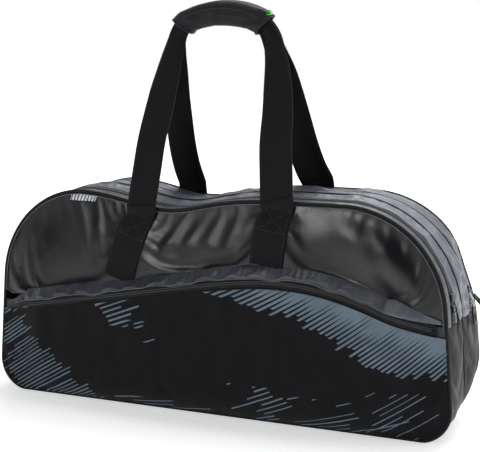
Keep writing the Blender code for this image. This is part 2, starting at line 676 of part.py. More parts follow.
def build_grip():
    """Padded wrap: a channel open to the rear on the front handle, and the flap that closes it."""
    path = resample([(-0.0808, 0.5765)] + grip_path() + [(0.0530, 0.5790)], 17)
    normals = []
    for i in range(len(path)):
        one, two = path[max(0, i - 1)], path[min(len(path) - 1, i + 1)]
        length = math.hypot(two[0] - one[0], two[1] - one[1])
        normals.append((-(two[1] - one[1]) / length, (two[0] - one[0]) / length))
    # section of the channel, (depth, height above the run): outside then inside
    section_out = ((0.0085, 0.0182), (-0.0040, 0.0190), (-0.0095, 0.0120), (-0.0105, 0.0),
                   (-0.0095, -0.0120), (-0.0040, -0.0186), (0.0085, -0.0180))
    section_in = ((0.0085, 0.0158), (-0.0030, 0.0160), (-0.0064, 0.0108), (-0.0070, 0.0),
                  (-0.0064, -0.0108), (-0.0030, -0.0160), (0.0085, -0.0158))

    def run_at(depth, rise):
        return [(x + nx * rise, depth, z + nz * rise) for (x, z), (nx, nz) in zip(path, normals)]

    outer = [run_at(depth, rise) for depth, rise in section_out]
    inner = [run_at(depth, rise) for depth, rise in section_in]
    grid_solid("grip_wrap_front", "wrap", outer, inner, pivot=FRONT_FOLD)
    front = [run_at(0.0122, rise) for rise in (0.0180, 0.0060, -0.0060, -0.0178)]
    back = [run_at(0.0090, rise) for rise in (0.0180, 0.0060, -0.0060, -0.0178)]
    grid_solid("grip_wrap_flap", "wrap", front, back, pivot=GRIP_HINGE)
    place = Matrix.Translation((0.0705, -0.0062, 0.5950)) @ Matrix.Rotation(math.radians(40), 4, "Y")
    box_solid("grip_label_tab", "green", (0.0050, 0.0016, 0.013), place, pivot=FRONT_FOLD)


GRIP_HINGE = (0.0, 0.0102, 0.6210)


def strap_front_y(x, z):
    """Just in front of the upper front panel, found from the panel's own shape."""
    low = arch_z(x, PLACKET)
    high = sag(x, OUTLINES[0][1] - 0.0048)
    t = max(0.0, min(1.0, (z - low) / (high - low)))
    return SEAM_FRONT - 0.001 - PANEL_BULGE * math.cos(t * math.pi / 2) - 0.0024


def build_anchors():
    runs = (("front_strap_anchor_left", (-0.143, 0.208), (-0.108, 0.3095), 0.048, FRONT_HINGE),
            ("front_strap_anchor_right", (0.100, 0.247), (0.111, 0.3285), 0.051, FRONT_HINGE))
    for name, low, high, width, pivot in runs:
        centres = []
        for i in range(8):
            t = i / 7
            x, z = lerp(low[0], high[0], t), lerp(low[1], high[1], t)
            centres.append((x, strap_front_y(x, z) - 0.0004, z))
        strap_solid(name, "webbing", centres, [width] * 8, (1.0, 0.0, -0.1), 0.0018, pivot=pivot)
    for side, x in (("left", -0.106), ("right", 0.108)):
        centres = [(x, SEAM_REAR + 0.0122 - 0.0045 * max(0.0, (z - 0.24) / 0.07), z)
                   for z in (0.170, 0.205, 0.240, 0.275, 0.310)]
        strap_solid("rear_strap_anchor_" + side, "webbing", centres, [0.050] * 5, (1.0, 0.0, 0.0), 0.0018,
                    pivot=REAR_HINGE)


def build_badge():
    place = Matrix.Translation((-0.211, SEAM_FRONT - 0.0052, 0.3172))
    bm = bmesh.new()
    corners = ((-0.027, -0.0042), (0.024, -0.0042), (0.028, 0.0042), (-0.024, 0.0042))
    low = [bm.verts.new((x, 0.0004, z)) for x, z in corners]
    high = [bm.verts.new((x, -0.0004, z)) for x, z in corners]
    bm.faces.new(tuple(low))
    bm.faces.new(tuple(reversed(high)))
    for k in range(4):
        m = (k + 1) % 4
        bm.faces.new((low[k], high[k], high[m], low[m]))
    bmesh.ops.transform(bm, matrix=place, verts=bm.verts)
    finish_mesh("reflective_patch", "reflective", bm, FRONT_HINGE)


clear_scene()
build_shell()
build_front_wall()
build_pocket()
build_rear_wall()
build_front_lid()
build_rear_lid()
build_zip_hardware()
build_handles()
build_grip()
build_anchors()
build_badge()
for item in bpy.data.objects:
    item.location.x -= CENTRE_X
    item.location.y -= CENTRE_Y
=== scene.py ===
"""Looks of the racket tournament bag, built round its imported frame."""

import json
import math

import bmesh
import bpy
import numpy as np
from mathutils import Matrix, Vector
from mathutils.bvhtree import BVHTree


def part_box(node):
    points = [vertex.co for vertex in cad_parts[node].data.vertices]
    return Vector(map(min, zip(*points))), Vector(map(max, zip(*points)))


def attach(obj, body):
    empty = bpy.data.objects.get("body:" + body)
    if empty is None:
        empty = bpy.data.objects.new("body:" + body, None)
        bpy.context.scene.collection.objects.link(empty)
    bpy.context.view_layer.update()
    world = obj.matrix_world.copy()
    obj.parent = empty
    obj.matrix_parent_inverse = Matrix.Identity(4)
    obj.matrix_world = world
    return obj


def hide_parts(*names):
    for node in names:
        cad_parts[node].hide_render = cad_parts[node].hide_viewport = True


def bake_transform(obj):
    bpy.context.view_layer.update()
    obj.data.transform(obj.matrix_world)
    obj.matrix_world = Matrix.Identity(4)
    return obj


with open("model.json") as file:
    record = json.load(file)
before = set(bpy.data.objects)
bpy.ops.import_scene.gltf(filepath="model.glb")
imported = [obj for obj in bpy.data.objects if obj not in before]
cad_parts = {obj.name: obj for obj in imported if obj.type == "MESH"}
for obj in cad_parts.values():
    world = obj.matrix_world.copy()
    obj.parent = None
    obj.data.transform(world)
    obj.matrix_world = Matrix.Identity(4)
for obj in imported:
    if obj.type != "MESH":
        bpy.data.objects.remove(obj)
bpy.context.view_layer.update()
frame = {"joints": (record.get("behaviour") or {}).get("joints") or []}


# ------------------------------------------------------------------ places, from the frame
def centre_of(node):
    low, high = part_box(node)
    return (low + high) / 2


MID_X = centre_of("front_lower_gusset").x
FRONT_Y = centre_of("front_lower_piping").y
MID_Y = centre_of("divider_piping").y
REAR_Y = centre_of("rear_lower_piping").y
ZIP1_Y = (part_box("front_zip_front_teeth")[1].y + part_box("front_zip_rear_teeth")[0].y) / 2
ZIP2_Y = (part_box("rear_zip_front_teeth")[1].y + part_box("rear_zip_rear_teeth")[0].y) / 2
TAPE1_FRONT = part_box("front_zip_front_tape")[0].y
TAPE1_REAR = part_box("front_zip_rear_tape")[1].y
POCKET_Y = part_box("pocket_front_panel")[0].y
PIVOTS = {j["name"]: Vector(j["pos_m"]) for j in frame["joints"] if "pos_m" in j}

# the bag's outline at its three piped seams: height, top corner radius, bottom corner radius
LENGTH = 0.750
OUTLINES = (
    (FRONT_Y, 0.329, 0.152, 0.048),
    (MID_Y, 0.334, 0.170, 0.066),
    (REAR_Y, 0.332, 0.164, 0.093),
)
LEAN = 0.0726
SAG_X, SAG_WIDTH, SAG_DEPTH, SAG_FROM = -0.070, 0.085, 0.022, 0.200
SHOULDER_DROP = 0.0095
SEAM_Z = 0.166            # the black end fabric starts below this height
PIPING_R = 0.0026
ARCH = (
    (-0.345, 0.139), (-0.330, 0.142), (-0.270, 0.153), (-0.200, 0.166), (-0.130, 0.179), (-0.060, 0.192),
    (0.000, 0.203), (0.050, 0.211), (0.090, 0.2155), (0.130, 0.2165), (0.170, 0.2135),
    (0.205, 0.2070), (0.240, 0.1975), (0.275, 0.1850), (0.310, 0.1720), (0.340, 0.1630), (0.360, 0.1600),
)
PLACKET = 0.0225
# cloth that crosses a joint: its two bodies and the heights between which it turns
CLOTH_BENDS = {
    "front_lid_cloth": ("shell", "front_lid", (0.243, 0.303)),
    "rear_lid_cloth": ("shell", "rear_lid", (0.155, 0.230)),
    "flap_cloth": ("front_handle", "grip_flap", (0.604, 0.592)),
}
SIM_FRAMES = 22


def lerp(a, b, t):
    return a + (b - a) * t


def smooth(t):
    t = np.clip(t, 0.0, 1.0)
    return t * t * (3 - 2 * t)


def outline_at(y):
    first, second = (OUTLINES[0], OUTLINES[1]) if y < MID_Y else (OUTLINES[1], OUTLINES[2])
    t = (y - first[0]) / (second[0] - first[0])
    return tuple(lerp(first[i], second[i], t) for i in (1, 2, 3))


def sag(x, z):
    share = np.clip((z - SAG_FROM) / 0.10, 0.0, 1.0)
    return z - SAG_DEPTH * share * np.exp(-((x - SAG_X) / SAG_WIDTH) ** 2)


def resample(points, count):
    """The same run at equal steps along its length."""
    points = np.asarray(points, float)
    steps = np.linalg.norm(np.diff(points, axis=0), axis=1)
    along = np.concatenate(([0.0], np.cumsum(steps)))
    want = np.linspace(0.0, along[-1], count)
    return np.stack([np.interp(want, along, points[:, k]) for k in range(points.shape[1])], axis=1), want


def half_outline(y, inset):
    """Right half of the outline as (x, z), from the middle of the base to the middle of the top."""
    height, top_r, low_r = outline_at(y)
    slope = math.sqrt(1 + LEAN * LEAN)
    first = math.atan(LEAN)
    points = []
    low_r = low_r - inset
    low_z = inset + low_r
    low_x = LENGTH / 2 - LEAN * low_z - inset * slope - low_r * slope
    for i in range(12):
        points.append((low_x * i / 12, inset))
    for i in range(25):
        angle = lerp(-math.pi / 2, first, i / 24)
        points.append((low_x + low_r * math.cos(angle), low_z + low_r * math.sin(angle)))
    top_r = top_r - inset
    top_z = height - inset - top_r
    top_x = LENGTH / 2 - LEAN * top_z - inset * slope - top_r * slope
    for i in range(41):
        angle = lerp(first, math.pi / 2, i / 40)
        points.append((top_x + top_r * math.cos(angle), top_z + top_r * math.sin(angle)))
    for i in range(1, 13):
        points.append((top_x * (1 - i / 12), height - inset))
    return points


def cut_at(points, z_cut):
    """Split a rising run of (x, z) where it passes height z_cut."""
    for i in range(1, len(points)):
        a, b = points[i - 1], points[i]
        if a[1] <= z_cut < b[1]:
            t = (z_cut - a[1]) / (b[1] - a[1])
            cross = (lerp(a[0], b[0], t), z_cut)
            return points[:i] + [cross], [cross] + points[i:]
    return points, []


def slack(y, run):
    """The rear seam's shoulders slope in a little more than its corner arcs."""
    share = min(1.0, max(0.0, (y - ZIP2_Y) / (REAR_Y - ZIP2_Y)))
    run[:, 0] -= np.sign(run[:, 0]) * SHOULDER_DROP * share * np.exp(-((run[:, 1] - 0.222) / 0.045) ** 2)
    return run


def upper_path(y, inset=0.0, count=200, start=SEAM_Z):
    """Outline from the right end over the top to the left end."""
    _, high = cut_at(half_outline(y, inset), start)
    whole = high + [(-x, z) for x, z in reversed(high[:-1])]
    run, along = resample(whole, count)
    run[:, 1] = sag(run[:, 0], run[:, 1])
    return slack(y, run), along


def lower_path(y, inset=0.0, count=160, start=SEAM_Z):
    """Outline from the left end under the base to the right end."""
    low, _ = cut_at(half_outline(y, inset), start)
    whole = [(-x, z) for x, z in reversed(low)][:-1] + low
    return resample(whole, count)


def ring_path(y, inset=0.0, count=360):
    """The closed outline, from the middle of the base round to it again."""
    half = half_outline(y, inset)
    whole = half + [(-x, z) for x, z in reversed(half[:-1])]
    run, along = resample(whole, count + 1)
    run[:, 1] = sag(run[:, 0], run[:, 1])
    return slack(y, run)[:-1], along[:-1]


def arch_z(x, rise=0.0):
    xs = [p[0] for p in ARCH]
    zs = [p[1] for p in ARCH]
    # a short moving average rounds the corners of the run
    return sum(np.interp(np.asarray(x) + d, xs, zs) for d in (-0.02, -0.01, 0.0, 0.01, 0.02)) / 5 + rise


def bulge_share(x):
    """How far the pocket's mouth stands out: 0 at its ends, 1 along most of it."""
    return smooth((0.352 - np.abs(x)) / 0.075) * (0.80 + 0.20 * smooth((0.36 - np.abs(x)) / 0.30))


def pocket_y(x, z):
    back = FRONT_Y - 0.0016
    low = np.sin(np.clip((z - 0.0056) / 0.075, 0.0, 1.0) * math.pi / 2)
    return back - (back - POCKET_Y - 0.0020) * bulge_share(x) * low


# ------------------------------------------------------------------ mesh making
def add_object(name, data):
    made = bpy.data.objects.new(name, data)
    bpy.context.scene.collection.objects.link(made)
    return made


def shade_smooth(mesh):
    for polygon in mesh.polygons:
        polygon.use_smooth = True


def mesh_from_grid(name, points, uvs, closed=False):
    """A quad sheet from rows x columns x 3 points, with its own flat coordinates in metres."""
    rows, cols = points.shape[:2]
    index = np.arange(rows * cols).reshape(rows, cols)
    faces = []
    corner_uvs = []
    span = cols if closed else cols - 1
    wrap = uvs[0, 1, 0] - uvs[0, 0, 0]
    for r in range(rows - 1):
        for c in range(span):
            d = (c + 1) % cols
            faces.append((index[r, c], index[r, d], index[r + 1, d], index[r + 1, c]))
            right_u = uvs[r, d, 0] if d else uvs[r, c, 0] + wrap
            right_u2 = uvs[r + 1, d, 0] if d else uvs[r + 1, c, 0] + wrap
            corner_uvs += [uvs[r, c], (right_u, uvs[r, d, 1]), (right_u2, uvs[r + 1, d, 1]), uvs[r + 1, c]]
    mesh = bpy.data.meshes.new(name)
    mesh.from_pydata(points.reshape(-1, 3).tolist(), [], [tuple(int(i) for i in f) for f in faces])
    layer = mesh.uv_layers.new(name="UVMap")
    layer.data.foreach_set("uv", np.asarray(corner_uvs, float).reshape(-1))
    mesh.update()
    return add_object(name, mesh)


def row_grid(name, rows, cols, row_of):
    """A sheet whose row r, a share t of the way over it, is the x, y, z, u and v from row_of(r, t)."""
    grid = np.zeros((rows, cols, 5))
    for r in range(rows):
        for k, values in enumerate(row_of(r, r / (rows - 1))):
            grid[r, :, k] = values
    return mesh_from_grid(name, grid[..., :3], grid[..., 3:])


def face_towards(obj, direction_of):
    """Turn the sheet over if its faces look away from the wanted side."""
    mesh = obj.data
    polygon = mesh.polygons[len(mesh.polygons) // 2]
    if polygon.normal.dot(direction_of(polygon.center)) < 0:
        mesh.flip_normals()


def coords(obj):
    co = np.empty(len(obj.data.vertices) * 3, np.float64)
    obj.data.vertices.foreach_get("co", co)
    return co.reshape(-1, 3)


def set_coords(obj, co):
    obj.data.vertices.foreach_set("co", np.asarray(co, np.float64).reshape(-1))
    obj.data.update()


def bake(obj):
    """Apply every modifier on the object."""
    bpy.context.view_layer.update()
    graph = bpy.context.evaluated_depsgraph_get()
    mesh = bpy.data.meshes.new_from_object(obj.evaluated_get(graph))
    obj.modifiers.clear()
    obj.data = mesh
    return obj


def finish_sheet(obj, material, thick, levels=1, lining=None, offset=-1.0):
    """Refine the sheet, give it its cloth thickness and its material."""
    obj.data.materials.clear()
    obj.data.materials.append(material)
    if lining is not None:
        obj.data.materials.append(lining)
    if levels:
        sub = obj.modifiers.new("fine", "SUBSURF")
        sub.levels = levels
        sub.render_levels = levels
        sub.boundary_smooth = "PRESERVE_CORNERS"
    solid = obj.modifiers.new("thick", "SOLIDIFY")
    solid.thickness = thick
    solid.offset = offset
    if lining is not None:
        solid.material_offset = 1
    bake(obj)
    shade_smooth(obj.data)
    return obj


# ------------------------------------------------------------------ cloth simulation
jobs = []


def add_cloth(obj, pins, grow=0.02, pressure=0.0, weight=0.5, cap=0.010, bending=0.3):
    """Queue the sheet for the shared simulation; pins holds 0 to 1 for each vertex."""
    group = obj.vertex_groups.new(name="pin")
    for level in np.unique(np.round(pins, 2)):
        members = np.nonzero(np.round(pins, 2) == level)[0]
        if level > 0:
            group.add([int(i) for i in members], float(level), "REPLACE")
    cloth = obj.modifiers.new("cloth", "CLOTH")
    s = cloth.settings
    s.vertex_group_mass = "pin"
    s.quality = 5
    s.mass = 0.25
    s.tension_stiffness = 25
    s.compression_stiffness = 25
    s.shear_stiffness = 8
    s.bending_stiffness = bending
    s.air_damping = 2.0
    s.shrink_min = -grow
    s.use_pressure = pressure != 0.0
    s.uniform_pressure_force = pressure
    s.effector_weights.gravity = weight
    cloth.collision_settings.use_collision = False
    cloth.collision_settings.use_self_collision = False
    jobs.append((obj, cap))
    return obj


def run_cloth():
    """Run every queued sheet together, keep the result and cap how far a point moved."""
    scene = bpy.context.scene
    scene.frame_start = 1
    scene.frame_end = SIM_FRAMES
    for step in range(1, SIM_FRAMES + 1):
        scene.frame_set(step)
    graph = bpy.context.evaluated_depsgraph_get()
    for obj, cap in jobs:
        rest = coords(obj)
        posed = obj.evaluated_get(graph)
        now = np.empty(len(posed.data.vertices) * 3, np.float64)
        posed.data.vertices.foreach_get("co", now)
        move = now.reshape(-1, 3) - rest
        size = np.linalg.norm(move, axis=1)
        size[size == 0] = 1.0
        limit = cap * np.tanh(size / cap)
        move *= (limit / size)[:, None]
        rest = rest + move
        obj.modifiers.clear()
        obj.vertex_groups.clear()
        rest[:, 2] = np.maximum(rest[:, 2], 0.0006)
        set_coords(obj, rest)
    scene.frame_set(1)
    jobs.clear()


# ------------------------------------------------------------------ materials
class Graph:
    """A node material built up from small pieces."""

    def __init__(self, name, color, rough, metallic=0.0, specular=0.5, coat=0.0, coat_rough=0.2, sheen=0.0):
        self.material = bpy.data.materials.new(name)
        self.material.use_nodes = True
        self.tree = self.material.node_tree
        self.bsdf = self.tree.nodes["Principled BSDF"]
        self.base = color
        self.put(self.bsdf.inputs["Base Color"], color + (1.0,))
        self.put(self.bsdf.inputs["Roughness"], rough)
        self.put(self.bsdf.inputs["Metallic"], metallic)
        self.put(self.bsdf.inputs["Specular IOR Level"], specular)
        self.put(self.bsdf.inputs["Coat Weight"], coat)
        self.put(self.bsdf.inputs["Coat Roughness"], coat_rough)
        self.put(self.bsdf.inputs["Sheen Weight"], sheen)
        self.uv = self.tree.nodes.new("ShaderNodeTexCoord").outputs["UV"]
        split = self.tree.nodes.new("ShaderNodeSeparateXYZ")
        self.tree.links.new(self.uv, split.inputs[0])
        self.u, self.v = split.outputs[0], split.outputs[1]
        self.normal = None

    def put(self, socket, value):
        if isinstance(value, bpy.types.NodeSocket):
            self.tree.links.new(value, socket)
        else:
            socket.default_value = value

    def math(self, operation, a, b=None, c=None, clamp=False):
        node = self.tree.nodes.new("ShaderNodeMath")
        node.operation = operation
        node.use_clamp = clamp
        for socket, value in zip(node.inputs, (a, b, c)):
            if value is not None:
                self.put(socket, value)
        return node.outputs[0]

    def noise(self, scale, detail=2.0, stretch=(1.0, 1.0), rough=0.5, distort=0.0, shift=0.0):
        mapping = self.tree.nodes.new("ShaderNodeMapping")
        self.put(mapping.inputs["Vector"], self.uv)
        mapping.inputs["Scale"].default_value = (stretch[0], stretch[1], 1.0)
        mapping.inputs["Location"].default_value = (shift, shift * 0.7, shift * 0.3)
        node = self.tree.nodes.new("ShaderNodeTexNoise")
        self.put(node.inputs["Vector"], mapping.outputs[0])
        node.inputs["Scale"].default_value = scale
        node.inputs["Detail"].default_value = detail
        node.inputs["Roughness"].default_value = rough
        node.inputs["Distortion"].default_value = distort
        return node.outputs[0]

    def random(self, value):
        node = self.tree.nodes.new("ShaderNodeTexWhiteNoise")
        node.noise_dimensions = "1D"
        self.put(node.inputs["W"], value)
        return node.outputs["Value"]

    def ramp(self, value, low, high, out_low=0.0, out_high=1.0):
        node = self.tree.nodes.new("ShaderNodeMapRange")
        node.interpolation_type = "SMOOTHSTEP"
        self.put(node.inputs["Value"], value)
        node.inputs["From Min"].default_value = low
        node.inputs["From Max"].default_value = high
        node.inputs["To Min"].default_value = out_low
        node.inputs["To Max"].default_value = out_high
        return node.outputs["Result"]

    def mix(self, share, a, b):
        node = self.tree.nodes.new("ShaderNodeMix")
        node.data_type = "RGBA"
        self.put(node.inputs["Factor"], share)
        self.put(node.inputs["A"], a if isinstance(a, bpy.types.NodeSocket) else tuple(a) + (1.0,))
        self.put(node.inputs["B"], b if isinstance(b, bpy.types.NodeSocket) else tuple(b) + (1.0,))
        return node.outputs["Result"]

    def color(self, socket):
        self.put(self.bsdf.inputs["Base Color"], socket)

    def rough(self, socket):
        self.put(self.bsdf.inputs["Roughness"], socket)

    def bump(self, height, distance, strength=1.0):
        node = self.tree.nodes.new("ShaderNodeBump")
        self.put(node.inputs["Height"], height)
        node.inputs["Distance"].default_value = distance
        node.inputs["Strength"].default_value = strength
        if self.normal is not None:
            self.put(node.inputs["Normal"], self.normal)
        self.normal = node.outputs[0]
        self.put(self.bsdf.inputs["Normal"], self.normal)

    def weave(self, pitch_u, pitch_v):
        """Product of two waves: a plain weave's rise and fall."""
        a = self.math("SINE", self.math("MULTIPLY", self.u, 2 * math.pi / pitch_u))
        b = self.math("SINE", self.math("MULTIPLY", self.v, 2 * math.pi / pitch_v))
        return self.math("MULTIPLY", a, b)

    def ribs(self, pitch, along="u"):
        source = self.u if along == "u" else self.v
        return self.math("ABSOLUTE", self.math("SINE", self.math("MULTIPLY", source, math.pi / pitch)))


def tint(color, k):
    return tuple(c * k for c in color)


def mottled(g, scale=18.0, low=0.80, high=1.25, shift=0.0):
    """Slow change of tone over the cloth."""
    share = g.ramp(g.noise(scale, 3.0, shift=shift), 0.3, 0.7)
    return g.mix(share, tint(g.base, low), tint(g.base, high))


def coated_cloth(name, color, rough, dots, crease, specular, shift=0.0):
    """Fabric with a shiny coating: embossed dots, soft creases and uneven gloss."""
    g = Graph(name, color, rough, specular=specular, coat_rough=0.24)
    g.color(mottled(g, 14.0, 0.82, 1.22, shift))
    g.rough(g.ramp(g.noise(9.0, 4.0, shift=shift + 3.0), 0.30, 0.70, rough - 0.06, rough + 0.10))
    g.bump(g.noise(26.0, 3.0, stretch=(1.0, 0.55), distort=0.8, shift=shift), crease, 0.55)
    g.bump(g.noise(95.0, 2.0, stretch=(1.0, 0.7), shift=shift + 9.0), crease * 0.16, 0.6)
    g.bump(g.math("MAXIMUM", g.weave(dots, dots), 0.0), 0.00022, 0.30)
    return g.material


def plain(name, color, rough, mottling, bumps, **shader):
    """An unevenly toned material; bumps(g) gives (height, distance, strength) of each bump."""
    g = Graph(name, color, rough, **shader)
    g.color(mottled(g, *mottling))
    for height, distance, strength in bumps(g):
        g.bump(height, distance, strength)
    return g.material


def metal_material():
    g = Graph("slider_enamel", (0.0140, 0.0140, 0.0155), 0.28, metallic=0.55, specular=0.6, coat=0.3)
    g.color(mottled(g, 200.0, 0.8, 1.5))
    g.rough(g.ramp(g.noise(260.0, 3.0), 0.3, 0.7, 0.22, 0.42))
    g.bump(g.noise(700.0, 2.0), 0.00005, 0.3)
    return g.material


def webbing_material():
    """Woven strap: fine ribs across it, with painted shade between them and painted light on their crests."""
    g = Graph("handle_webbing", (0.0068, 0.0068, 0.0078), 0.78, specular=0.12, sheen=0.03)
    ribs = g.ribs(0.0022)
    # painted shade in the grooves between the ribs, painted light on their crests
    g.color(g.mix(ribs, tint(g.base, 0.55), tint(g.base, 1.9)))
    g.bump(ribs, 0.00050, 0.75)
    g.bump(g.ribs(0.0014, "v"), 0.00016, 0.5)
    return g.material


def build_materials():
    return {
        "coated": coated_cloth("coated_black", (0.0042, 0.0045, 0.0060), 0.29, 0.0034, 0.0012, 0.45),
        "slate": coated_cloth("slate_coated", (0.046, 0.051, 0.063), 0.38, 0.0016, 0.0026, 0.45, 5),
        "tab": coated_cloth("slate_tab", (0.088, 0.096, 0.112), 0.44, 0.0016, 0.0020, 0.35, 15),
        "silver": coated_cloth("silver_grey_coated", (0.108, 0.118, 0.140), 0.34, 0.0016, 0.0034, 0.45, 8),
        "gusset": coated_cloth("gusset_coated", (0.0105, 0.0108, 0.0125), 0.48, 0.0018, 0.0024, 0.16, 12),
        "piping": plain("piping_cord", (0.0060, 0.0060, 0.0070), 0.60, (60.0,),
                        lambda g: [(g.ribs(0.0011), 0.00020, 0.5)], specular=0.22),
        "tape": plain("zip_tape", (0.0115, 0.0117, 0.0135), 0.80, (80.0,),
                      lambda g: [(g.ribs(0.0012), 0.00030, 0.7), (g.ribs(0.0009, "v"), 0.00012, 0.5)],
                      specular=0.2, sheen=0.05),
        "teeth": plain("zip_teeth", (0.0150, 0.0150, 0.0170), 0.36, (300.0,),
                       lambda g: [(g.noise(900.0, 2.0), 0.00006, 0.4)]),
        "metal": metal_material(),
        "rubber": plain("puller_rubber", (0.0100, 0.0100, 0.0108), 0.50, (120.0,),
                        lambda g: [(g.noise(900.0, 3.0), 0.00010, 0.5)], specular=0.45),
        "webbing": webbing_material(),
        "wrap": plain("wrap_cloth", (0.0150, 0.0152, 0.0175), 0.66, (40.0,),
                      lambda g: [(g.noise(60.0, 3.0, stretch=(0.5, 1.2)), 0.0016, 0.5),
                                 (g.weave(0.0011, 0.0011), 0.00012, 0.5)], specular=0.22, sheen=0.04),
        "lining": plain("lining_cloth", (0.045, 0.047, 0.052), 0.80, (30.0,),
                        lambda g: [(g.noise(35.0, 3.0), 0.0016, 0.5),
                                   (g.weave(0.0013, 0.0013), 0.00014, 0.6)], specular=0.25, sheen=0.10),
        "board": plain("stiffener_board", (0.055, 0.055, 0.060), 0.62, (50.0,),
                       lambda g: [(g.noise(420.0, 3.0), 0.00020, 0.5)], specular=0.4),
        # lighter grey for turned edges on dark cloth: a painted highlight line
        "edge_highlight_grey": plain("painted_highlight_edge", (0.090, 0.094, 0.106), 0.50, (70.0, 0.7, 1.2),
                         lambda g: [(g.ribs(0.0012), 0.00012, 0.5)], specular=0.40),
        "thread": plain("sewing_thread", (0.016, 0.016, 0.019), 0.60, (500.0,),
                        lambda g: [(g.ribs(0.0006), 0.00008, 0.6)], specular=0.4, sheen=0.2),
        "green": plain("green_loop", (0.105, 0.640, 0.030), 0.55, (90.0, 0.8, 1.15),
                       lambda g: [(g.ribs(0.0010), 0.00020, 0.6)], specular=0.4, sheen=0.2),
        "reflective": reflective_material(),
        "print": printed_material(),
    }


def reflective_material():
    """Silver film with slanting dark bars between its clear cells."""
    g = Graph("reflective_film", (0.60, 0.63, 0.68), 0.34, metallic=0.25, specular=0.6, coat=0.3)
    slant = g.math("ADD", g.u, g.math("MULTIPLY", g.v, -0.35))
    bars = g.math("FRACT", g.math("DIVIDE", slant, 0.0058))
    share = g.ramp(bars, 0.62, 0.70)
    ends = g.ramp(g.math("ABSOLUTE", g.v), 0.0044, 0.0048, 0.0, 1.0)
    share = g.math("MAXIMUM", share, ends)
    g.color(g.mix(share, mottled(g, 150.0, 0.75, 1.1), (0.020, 0.020, 0.024)))
    g.bump(g.weave(0.0009, 0.0009), 0.00006, 0.6)
    return g.material


def lanes(g, angle, pitch, bend=0.0, seed=0.0):
    """Slanting lanes over the cloth: three random numbers for each, and the distance from its middle."""
    cos_a, sin_a = math.cos(math.radians(angle)), math.sin(math.radians(angle))
    z = g.v
    if bend:
        z = g.math("MULTIPLY_ADD", g.math("MULTIPLY", g.u, g.u), bend, g.v)
    across = g.math("SUBTRACT", g.math("MULTIPLY", z, cos_a), g.math("MULTIPLY", g.u, sin_a))
    lane = g.math("DIVIDE", across, pitch)
    number = g.math("FLOOR", lane)
    off = g.math("ABSOLUTE", g.math("SUBTRACT", g.math("FRACT", lane), 0.5))
    return [g.random(g.math("ADD", number, seed + k)) for k in (0.0, 37.0, 91.0)], off


def sloping(g, start, slope, jitter, chance, source=None):
    """start + slope * x, moved by up to half the jitter either way for each lane."""
    line = g.math("MULTIPLY_ADD", g.u if source is None else source, slope, start)
    return g.math("MULTIPLY_ADD", g.math("SUBTRACT", chance, 0.5), jitter, line)


def between(g, value, low, high):
    return g.math("MULTIPLY", g.math("GREATER_THAN", value, low), g.math("LESS_THAN", value, high))


def comb_ink(g):
    """Strokes that hang from the zipper on the right and run together along it."""
    chance, off = lanes(g, 22.0, 0.0069, bend=-0.70, seed=3.0)
    ends = g.math("MAXIMUM", g.math("MINIMUM", sloping(g, 0.198, -0.21, 0.012, chance[0]),
                                    sloping(g, 0.242, -0.50, 0.018, chance[0])),
                  sloping(g, 0.098, 0.0, 0.012, chance[0]))
    into = g.math("SUBTRACT", g.v, ends)
    merged = sloping(g, 0.256, -0.315, 0.034, chance[1])
    width = g.ramp(into, 0.0, 0.035, 0.25, 0.33)
    width = g.math("ADD", width, g.ramp(g.math("SUBTRACT", g.v, merged), -0.025, 0.010, 0.0, 0.24))
    ink = g.math("MULTIPLY", g.math("LESS_THAN", off, width), g.math("GREATER_THAN", into, 0.0))
    return g.math("MULTIPLY", ink, g.math("GREATER_THAN", g.u, 0.0))


def left_ink(g):
    """Thinner curved strokes that come in round the left end."""
    chance, off = lanes(g, 15.0, 0.0062, bend=0.55, seed=21.0)
    reach = sloping(g, -0.173, -1.262, 0.030, chance[0], g.v)
    start = g.math("MULTIPLY_ADD", chance[1], 0.050, -0.385)
    ink = g.math("MULTIPLY", g.math("LESS_THAN", g.u, reach), g.math("GREATER_THAN", g.u, start))
    ink = g.math("MULTIPLY", ink, g.math("LESS_THAN", off, g.math("MULTIPLY_ADD", chance[2], 0.13, 0.08)))
    ink = g.math("MULTIPLY", ink, g.math("GREATER_THAN", chance[2], 0.10))
    return g.math("MULTIPLY", ink, g.math("LESS_THAN", g.v, 0.134))


def free_ink(g, angle, pitch, window, start, length, width, keep, bend, seed):
    """Loose strokes inside a window (x low, x high, z low, z high), each with its own start and length."""
    chance, off = lanes(g, angle, pitch, bend=bend, seed=seed)
    first = g.math("MULTIPLY_ADD", chance[0], start[1] - start[0], start[0])
    last = g.math("ADD", first, g.math("MULTIPLY_ADD", chance[1], length[1] - length[0], length[0]))
    ink = between(g, g.u, first, last)
    half = g.math("MULTIPLY_ADD", chance[2], width * 0.4, width * 0.3)
    ink = g.math("MULTIPLY", ink, g.math("LESS_THAN", off, half))
    ink = g.math("MULTIPLY", ink, between(g, g.v, window[2], window[3]))
    ink = g.math("MULTIPLY", ink, between(g, g.u, window[0], window[1]))
    return g.math("MULTIPLY", ink, g.math("LESS_THAN", chance[2], keep))


# slant, pitch, window, start, length, width, share kept, bend, seed
LOOSE_STROKES = (
    (21.0, 0.0072, (0.0, 0.24, 0.0, 0.060), (0.030, 0.130), (0.030, 0.080), 0.36, 0.85, -0.1, 33.0),
    (13.0, 0.0078, (0.10, 0.33, 0.0, 0.052), (0.120, 0.220), (0.040, 0.110), 0.20, 0.70, -0.2, 45.0),
    (14.0, 0.0090, (0.24, 0.372, 0.0, 0.072), (0.240, 0.300), (0.045, 0.080), 0.17, 0.70, -0.65, 57.0),
    (21.0, 0.0074, (-0.185, -0.085, 0.128, 0.172), (-0.180, -0.150), (0.030, 0.070), 0.40, 0.85, 0.0, 69.0),
    (19.0, 0.0076, (-0.140, -0.060, 0.108, 0.140), (-0.135, -0.105), (0.025, 0.050), 0.36, 0.80, 0.0, 81.0),
    (9.0, 0.0080, (-0.170, 0.030, 0.0, 0.020), (-0.16, -0.06), (0.050, 0.120), 0.22, 0.80, -0.1, 93.0),
)


